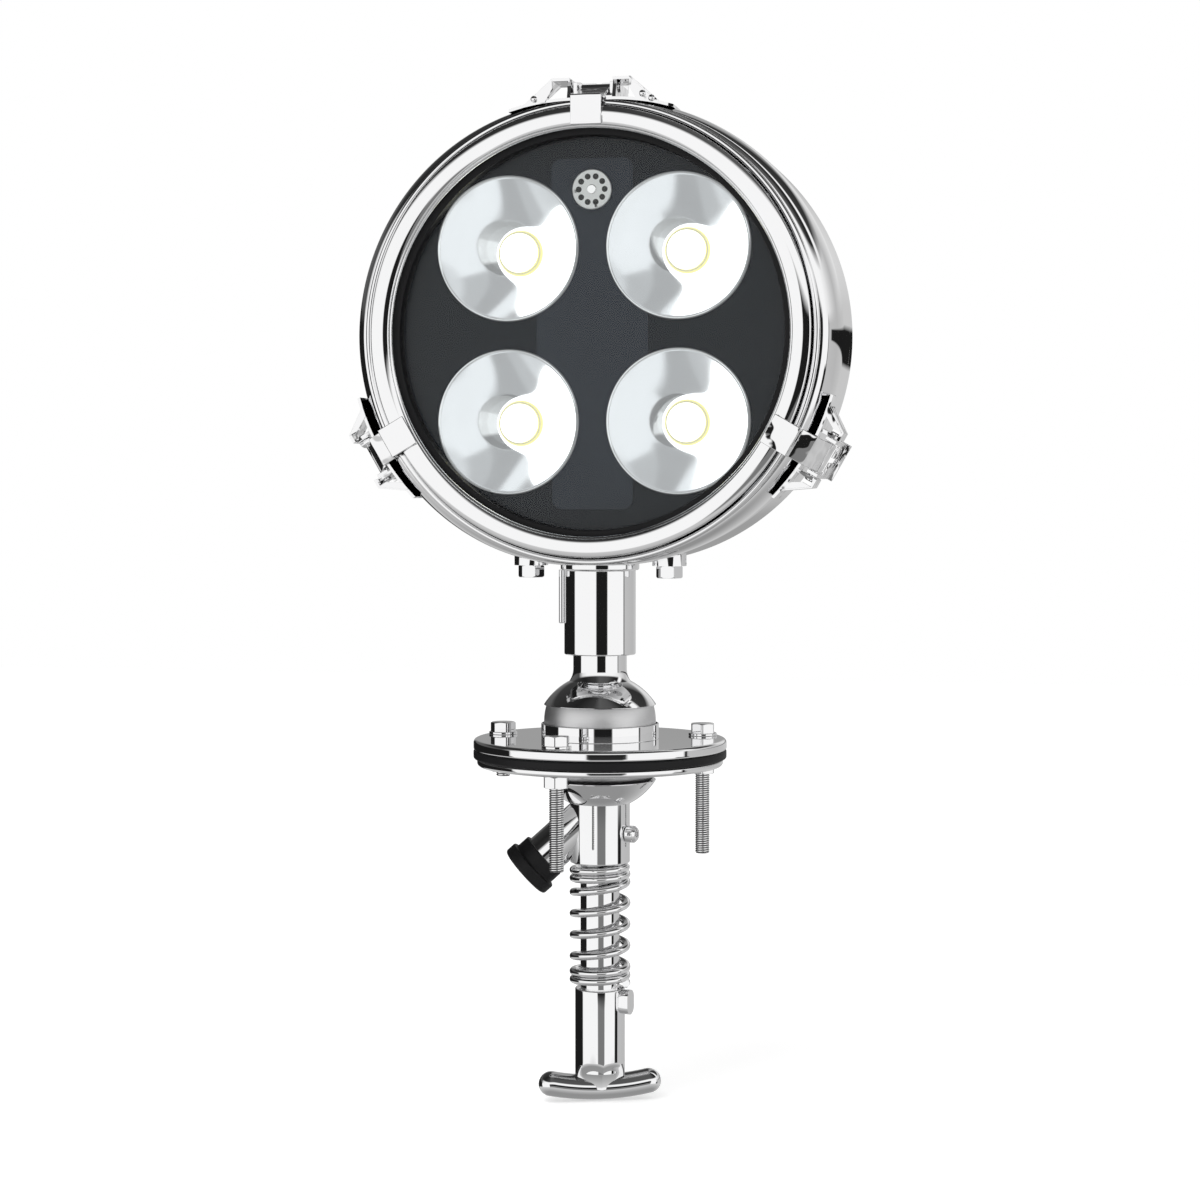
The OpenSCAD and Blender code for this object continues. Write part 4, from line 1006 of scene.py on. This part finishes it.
class SEARCHLIGHT_OT_front(Operator):
    """Front ring, glass with its rubber channel, dark panel, bare film and breather, with painted shade in its
    holes
    """

    bl_idname = "searchlight.front"
    bl_label = "Front"

    def execute(self, context):
        steel, lamp = coat("polished_steel"), sizes("lamp")
        back, face = ahead("bezel_ring")
        edge, opening, small, edge_r = lamp_r("bezel_ring"), lamp.opening_r, lamp.lip_r, lamp.band_edge
        pad_r, (pad_back, lip) = lamp_r("glass_gasket"), ahead("glass_gasket")
        skirt = pad_r + 0.6 * MM
        half, bend = lamp.band_w / 2, lamp.band_bend
        lean = math.acos((half - edge_r) / (bend - edge_r))
        side = face - bend + (bend - edge_r) * math.sin(lean)
        lean = math.degrees(lean)
        outer_side = edge - 0.5 * MM
        ring = outline(
            (skirt, back), (edge - 0.6 * MM, back), (outer_side, back + 0.3 * MM), (outer_side, back + 5 * MM),
            arc((edge - edge_r, side), edge_r, 0, lean, 8)[:-1],
            arc((edge - half, face - bend), bend, lean, 180 - lean, 40),
            arc((edge - 2 * half + edge_r, side), edge_r, 180 - lean, 190, 8)[1:],
            arc((opening + small, lip + 3.4 * MM), small, 60, 180, 16),
            (opening, lip + 0.4 * MM), (opening + 0.3 * MM, lip), (skirt, lip))
        piece("front_ring", [turned(ring, LAMP, LAMP_STEPS)], steel, "head", ["bezel_ring"], sharp=40)

        channel = ring_outline(opening - lamp.pad_w, pad_r, pad_back, lip, (0, 0, 0, 0.9))
        piece("glass_channel", [turned(channel, LAMP, LAMP_STEPS)], coat("rubber"), "head", ["glass_gasket"])
        pane = ring_outline(0, lamp_r("front_glass"), *ahead("front_glass"), (0, 0.4, 0.4, 0))
        piece("clear_glass", [turned(pane, LAMP, WIDE_STEPS, loop=False)], coat("glass"), "head", ["front_glass"])
        for node, look in (("mask_panel", "panel"), ("label_strip", "film"), ("vent_disc", "satin_steel")):
            softened(node, coat(look))

        place, front = lamp_place("vent_disc"), ahead("vent_disc")[1]
        boss = ring_outline(0, lamp.boss_r, front - 0.2 * MM, front + lamp.boss_h, (0, 0, 0.6, 0))
        piece("breather_boss", [turned(boss, place, 48, loop=False)], steel, "head")
        # Black discs flush over the breather's holes: painted shade standing for the dark inside them.
        hole_shade_disc = ring_outline(0, lamp.hole_r, front - 0.3 * MM, front + 0.03 * MM)
        out = Matrix.Translation((lamp.hole_ring, 0, 0))
        turns = [Matrix.Rotation(TURN * k / lamp.hole_count, 4, "Z") for k in range(lamp.hole_count)]
        hole_shade_discs = [turned(hole_shade_disc, place @ turn @ out, 24, loop=False) for turn in turns]
        piece("breather_holes", hole_shade_discs, coat("driver"), "head")
        return {"FINISHED"}


class SEARCHLIGHT_OT_reflectors(Operator):
    """Four paraboloid reflectors and their light emitters"""

    bl_idname = "searchlight.reflectors"
    bl_label = "Reflectors"

    def execute(self, context):
        lamp = sizes("lamp")
        mouth, wall, focus = lamp.mirror_r, lamp.mirror_wall, lamp.mirror_focus
        front = ahead("reflector_1")[1]
        socket = lamp.emitter_r + 1 * MM
        vertex = front - (mouth - wall) ** 2 / (4 * focus)
        r = np.linspace(socket, mouth - wall, 48)
        bowl = np.stack((r, vertex + r ** 2 / (4 * focus)), -1)
        shell = bowl[::-1] + np.array((wall, -0.4 * MM))
        rim = (mouth - 0.7 * wall, front + 0.25 * MM), (mouth - 0.3 * wall, front + 0.15 * MM)
        profile = outline(bowl, *rim, shell)
        nodes = [f"reflector_{i}" for i in range(1, 5)]
        for i, node in enumerate(nodes, 1):
            grid = turned(profile, lamp_place(node), 128)
            piece(f"bright_bowl_{i}", [grid], coat("reflector"), "head", [node], sharp=45)

        rear, near = ahead("led_emitters")
        face, foot = lamp.emitter_r, rear + lamp.emitter_foot
        dome = arc((0, 0), 1, 0, 90, 20) * (face, near - foot) + (0, foot)
        crown = outline((0, rear), (face, rear), dome)
        discs = [turned(crown, lamp_place(node), 72, loop=False) for node in nodes]
        lights = piece("light_discs", discs, coat("emitter"), "head", ["led_emitters"])
        mark(lights, "rim", from_axes(lights, [middle(node) for node in nodes], (0, 2)) / face)
        return {"FINISHED"}


class SEARCHLIGHT_OT_latches(Operator):
    """Three toggle latches round the front ring"""

    bl_idname = "searchlight.latches"
    bl_label = "Latches"

    def execute(self, context):
        steel = coat("polished_steel")
        for i in (1, 2, 3):
            for part, bevel in (("base", 0.3 * MM), ("lever", 0.5 * MM), ("claw", 0.4 * MM)):
                sheet = softened(f"latch_{part}_{i}", steel, bevel=bevel)
                mark(sheet, "pressed", np.ones(len(sheet.data.vertices)))
            softened(f"link_pin_{i}", steel)
        softened("latch_rivets", steel)
        softened("latch_pivots", steel)
        return {"FINISHED"}


class SEARCHLIGHT_OT_inside(Operator):
    """Finishes of the CAD pieces that show as they are"""

    bl_idname = "searchlight.inside"
    bl_label = "Inside"

    def execute(self, context):
        slots = {part["node"]: part["material_slot"] for part in frame["record"]["subparts"]}
        for node, thing in frame["nodes"].items():
            thing.data.materials.clear()
            thing.data.materials.append(coat(slots[node]))
        return {"FINISHED"}


# Studio

FLOOR_R, FLOOR_GAP = 3.0, 0.3 * MM
FLOOR_GLOW = 0.41
KEY_PLACE, KEY_SIZE = (-0.5, -0.9, 1.7), 1.4

# Rows of cards as (bearing, brightness) stops, where 0.5 is the camera's bearing
DARK, PALE, LIGHT, BEHIND = 0.012, 0.55, 1.0, 0.34
LOW = (
    (0.0, BEHIND), (0.031, BEHIND), (0.038, DARK), (0.258, DARK), (0.264, LIGHT), (0.468, LIGHT), (0.474, 0.2),
    (0.556, 0.2), (0.562, LIGHT), (0.698, LIGHT), (0.704, DARK), (0.742, DARK), (0.748, PALE), (0.966, 0.5),
    (0.974, BEHIND), (1.0, BEHIND))
LEVEL = (
    (0.0, BEHIND), (0.031, BEHIND), (0.038, DARK), (0.25, DARK), (0.256, LIGHT), (0.464, LIGHT), (0.469, DARK),
    (0.564, DARK), (0.569, LIGHT), (0.725, LIGHT), (0.729, DARK), (0.735, DARK), (0.739, PALE), (0.86, 0.5),
    (0.966, 0.6), (0.974, BEHIND), (1.0, BEHIND))
RAISED = (
    (0.0, 0.4), (0.05, 0.12), (0.22, 0.07), (0.28, 0.8), (0.34, LIGHT), (0.66, LIGHT), (0.75, 0.85), (0.86, 0.5),
    (0.95, 0.8), (1.0, 0.4))
OVERHEAD = (
    (0.0, 0.05), (0.3, 0.015), (0.44, 0.04), (0.5, 0.1), (0.6, 0.08), (0.68, 0.02), (0.735, 0.02), (0.75, LIGHT),
    (0.78, LIGHT), (0.8, 0.04), (0.9, 0.03), (0.95, 0.4), (1.0, 0.15))
SLOT = ((0.0, 0.0), (0.77, 0.0), (0.79, 1.0), (0.966, 1.0), (0.972, 0.0), (1.0, 0.0))

# Rise, as the sine of the angle above eye level, over which the floor, each row and the slot come in
GROUND_RISE = -0.9, -0.4
ROWS = ((-0.37, -0.3, LOW), (-0.14, -0.11, LEVEL), (0.1, 0.16, RAISED), (0.36, 0.48, OVERHEAD))
SLOT_FOOT, SLOT_TOP = (0.012, 0.02), (0.074, 0.066)


def room(g, studio):
    """Studio seen in the bright steel, by height and by bearing from the camera: dark and white cards at eye
    level, a softer row below them, a dark slot behind on the right, a pale room above, a dark ceiling and a grey
    floor. The camera and clear glass see a white room."""
    ray = g.node("ShaderNodeTexCoord", out="Generated")
    toward = (math.sin(studio.bearing), -math.cos(studio.bearing), 0)
    right = (math.cos(studio.bearing), math.sin(studio.bearing), 0)
    facing, across, rise = [
        g.node("ShaderNodeVectorMath", {"operation": "DOT_PRODUCT"}, {0: ray, 1: axis}, out="Value")
        for axis in (toward, right, (0, 0, 1))]
    bearing = across.maths("ARCTAN2", across, facing) / TURN + 0.5
    seen = g.blend(rise.between(*GROUND_RISE), grey(0.3), grey(0.6))
    for start, full, stops in ROWS:
        row = g.node("ShaderNodeValToRGB", {"stops": stops}, {"Fac": bearing})
        seen = g.blend(rise.between(start, full), seen, row)
    slot = g.node("ShaderNodeValToRGB", {"stops": SLOT}, {"Fac": bearing})
    seen = g.blend(slot * rise.between(*SLOT_FOOT) * rise.between(*SLOT_TOP), seen, grey(DARK))
    soft, cards, white = [
        g.node("ShaderNodeBackground", None, {"Color": shade, "Strength": strength})
        for shade, strength in ((grey(1), studio.soft_light), (seen, 1.0), (grey(1), 1.0))]
    glossy, camera, through = [
        g.node("ShaderNodeLightPath", out=f"Is {kind} Ray") for kind in ("Glossy", "Camera", "Transmission")]
    lit = g.node("ShaderNodeMixShader", None, {0: glossy, 1: soft, 2: cards})
    plain = camera.maths("MAXIMUM", camera, through)
    g.output(g.node("ShaderNodeMixShader", None, {0: plain, 1: lit, 2: white}), "World")


def pale_floor(g, colours):
    """Matt floor that the camera sees as white where nothing shades it. Bright steel sees the room through
    it."""
    matt = g.node("ShaderNodeBsdfDiffuse", None, {"Color": solid(colours.floor)})
    glow = g.node("ShaderNodeEmission", None, {"Color": grey(1), "Strength": FLOOR_GLOW})
    bright = g.node("ShaderNodeAddShader", None, {0: matt, 1: glow})
    clear = g.node("ShaderNodeBsdfTransparent", None, {"Color": grey(1)})
    glossy = g.node("ShaderNodeLightPath", out="Is Glossy Ray")
    g.output(g.node("ShaderNodeMixShader", None, {0: glossy, 1: bright, 2: clear}))


def aimed(name, data, place, target):
    """Object of a light or camera at a place, turned to a target."""
    thing = bpy.data.objects.new(name, data)
    thing.location = place
    thing.rotation_euler = (Vector(target) - thing.location).to_track_quat("-Z", "Y").to_euler()
    bpy.context.scene.collection.objects.link(thing)
    return thing


class SEARCHLIGHT_OT_stage(Operator):
    """Pale floor, soft light and the camera"""

    bl_idname = "searchlight.stage"
    bl_label = "Stage"

    def execute(self, context):
        studio, scene = sizes("studio"), context.scene
        scene.view_settings.view_transform = "Standard"
        scene.world = bpy.data.worlds.new("Studio")
        scene.world.use_nodes = True
        room(Graph(scene.world.node_tree), studio)

        floor_z = CAD_BOX[0][2] - FLOOR_GAP
        corners = np.array(((-1, -1, 0), (1, -1, 0), (1, 1, 0), (-1, 1, 0))) * FLOOR_R + (0, 0, floor_z)
        mesh = bpy.data.meshes.new("pale_floor")
        mesh.from_pydata(corners.tolist(), [], [(0, 1, 2, 3)])
        mesh.materials.append(finish("floor", pale_floor))
        floor = bpy.data.objects.new("pale_floor", mesh)
        scene.collection.objects.link(floor)

        lamp = bpy.data.lights.new("Soft lamp", "AREA")
        lamp.shape, lamp.size = "DISK", KEY_SIZE
        lamp.energy = studio.key_power
        aimed("Soft lamp", lamp, KEY_PLACE, (0, 0, 0)).visible_glossy = False

        lens = bpy.data.cameras.new("Camera")
        lens.sensor_fit = "HORIZONTAL"
        lens.angle = studio.view_angle
        place = (studio.distance * math.sin(studio.bearing), -studio.distance * math.cos(studio.bearing),
                 studio.camera_z)
        scene.camera = aimed("Camera", lens, place, (0, 0, studio.aim_z))
        return {"FINISHED"}


# Sidebar and start

PIECES = (
    SEARCHLIGHT_OT_inside, SEARCHLIGHT_OT_roof_fitting, SEARCHLIGHT_OT_roof_bolts, SEARCHLIGHT_OT_ball_joint,
    SEARCHLIGHT_OT_column, SEARCHLIGHT_OT_clamp, SEARCHLIGHT_OT_spring, SEARCHLIGHT_OT_handle,
    SEARCHLIGHT_OT_housing, SEARCHLIGHT_OT_front, SEARCHLIGHT_OT_reflectors, SEARCHLIGHT_OT_latches,
    SEARCHLIGHT_OT_stage)
GROUPS = {"roof": RoofSizes, "column": ColumnSizes, "lamp": LampSizes, "colours": FinishColours,
          "studio": StudioSizes}


class SEARCHLIGHT_PT_pieces(Panel):
    """Lists the pieces and their settings"""

    bl_idname = "SEARCHLIGHT_PT_pieces"
    bl_label = "Searchlight"
    bl_space_type = "VIEW_3D"
    bl_region_type = "UI"
    bl_category = "Searchlight"

    def draw(self, context):
        for operator in PIECES:
            self.layout.operator(operator.bl_idname)
        for group, kind in GROUPS.items():
            box = self.layout.box()
            for name in kind.__annotations__:
                box.prop(sizes(group), name)


def register():
    for kind in (*GROUPS.values(), *PIECES, SEARCHLIGHT_PT_pieces):
        bpy.utils.register_class(kind)
    for group, kind in GROUPS.items():
        setattr(bpy.types.Scene, "searchlight_" + group, PointerProperty(type=kind))


def unregister():
    for group in GROUPS:
        delattr(bpy.types.Scene, "searchlight_" + group)
    for kind in (SEARCHLIGHT_PT_pieces, *reversed(PIECES), *reversed(GROUPS.values())):
        bpy.utils.unregister_class(kind)


def main():
    register()
    for operator in PIECES:
        group, name = operator.bl_idname.split(".")
        getattr(getattr(bpy.ops, group), name)()


if __name__ == "__main__":
    main()
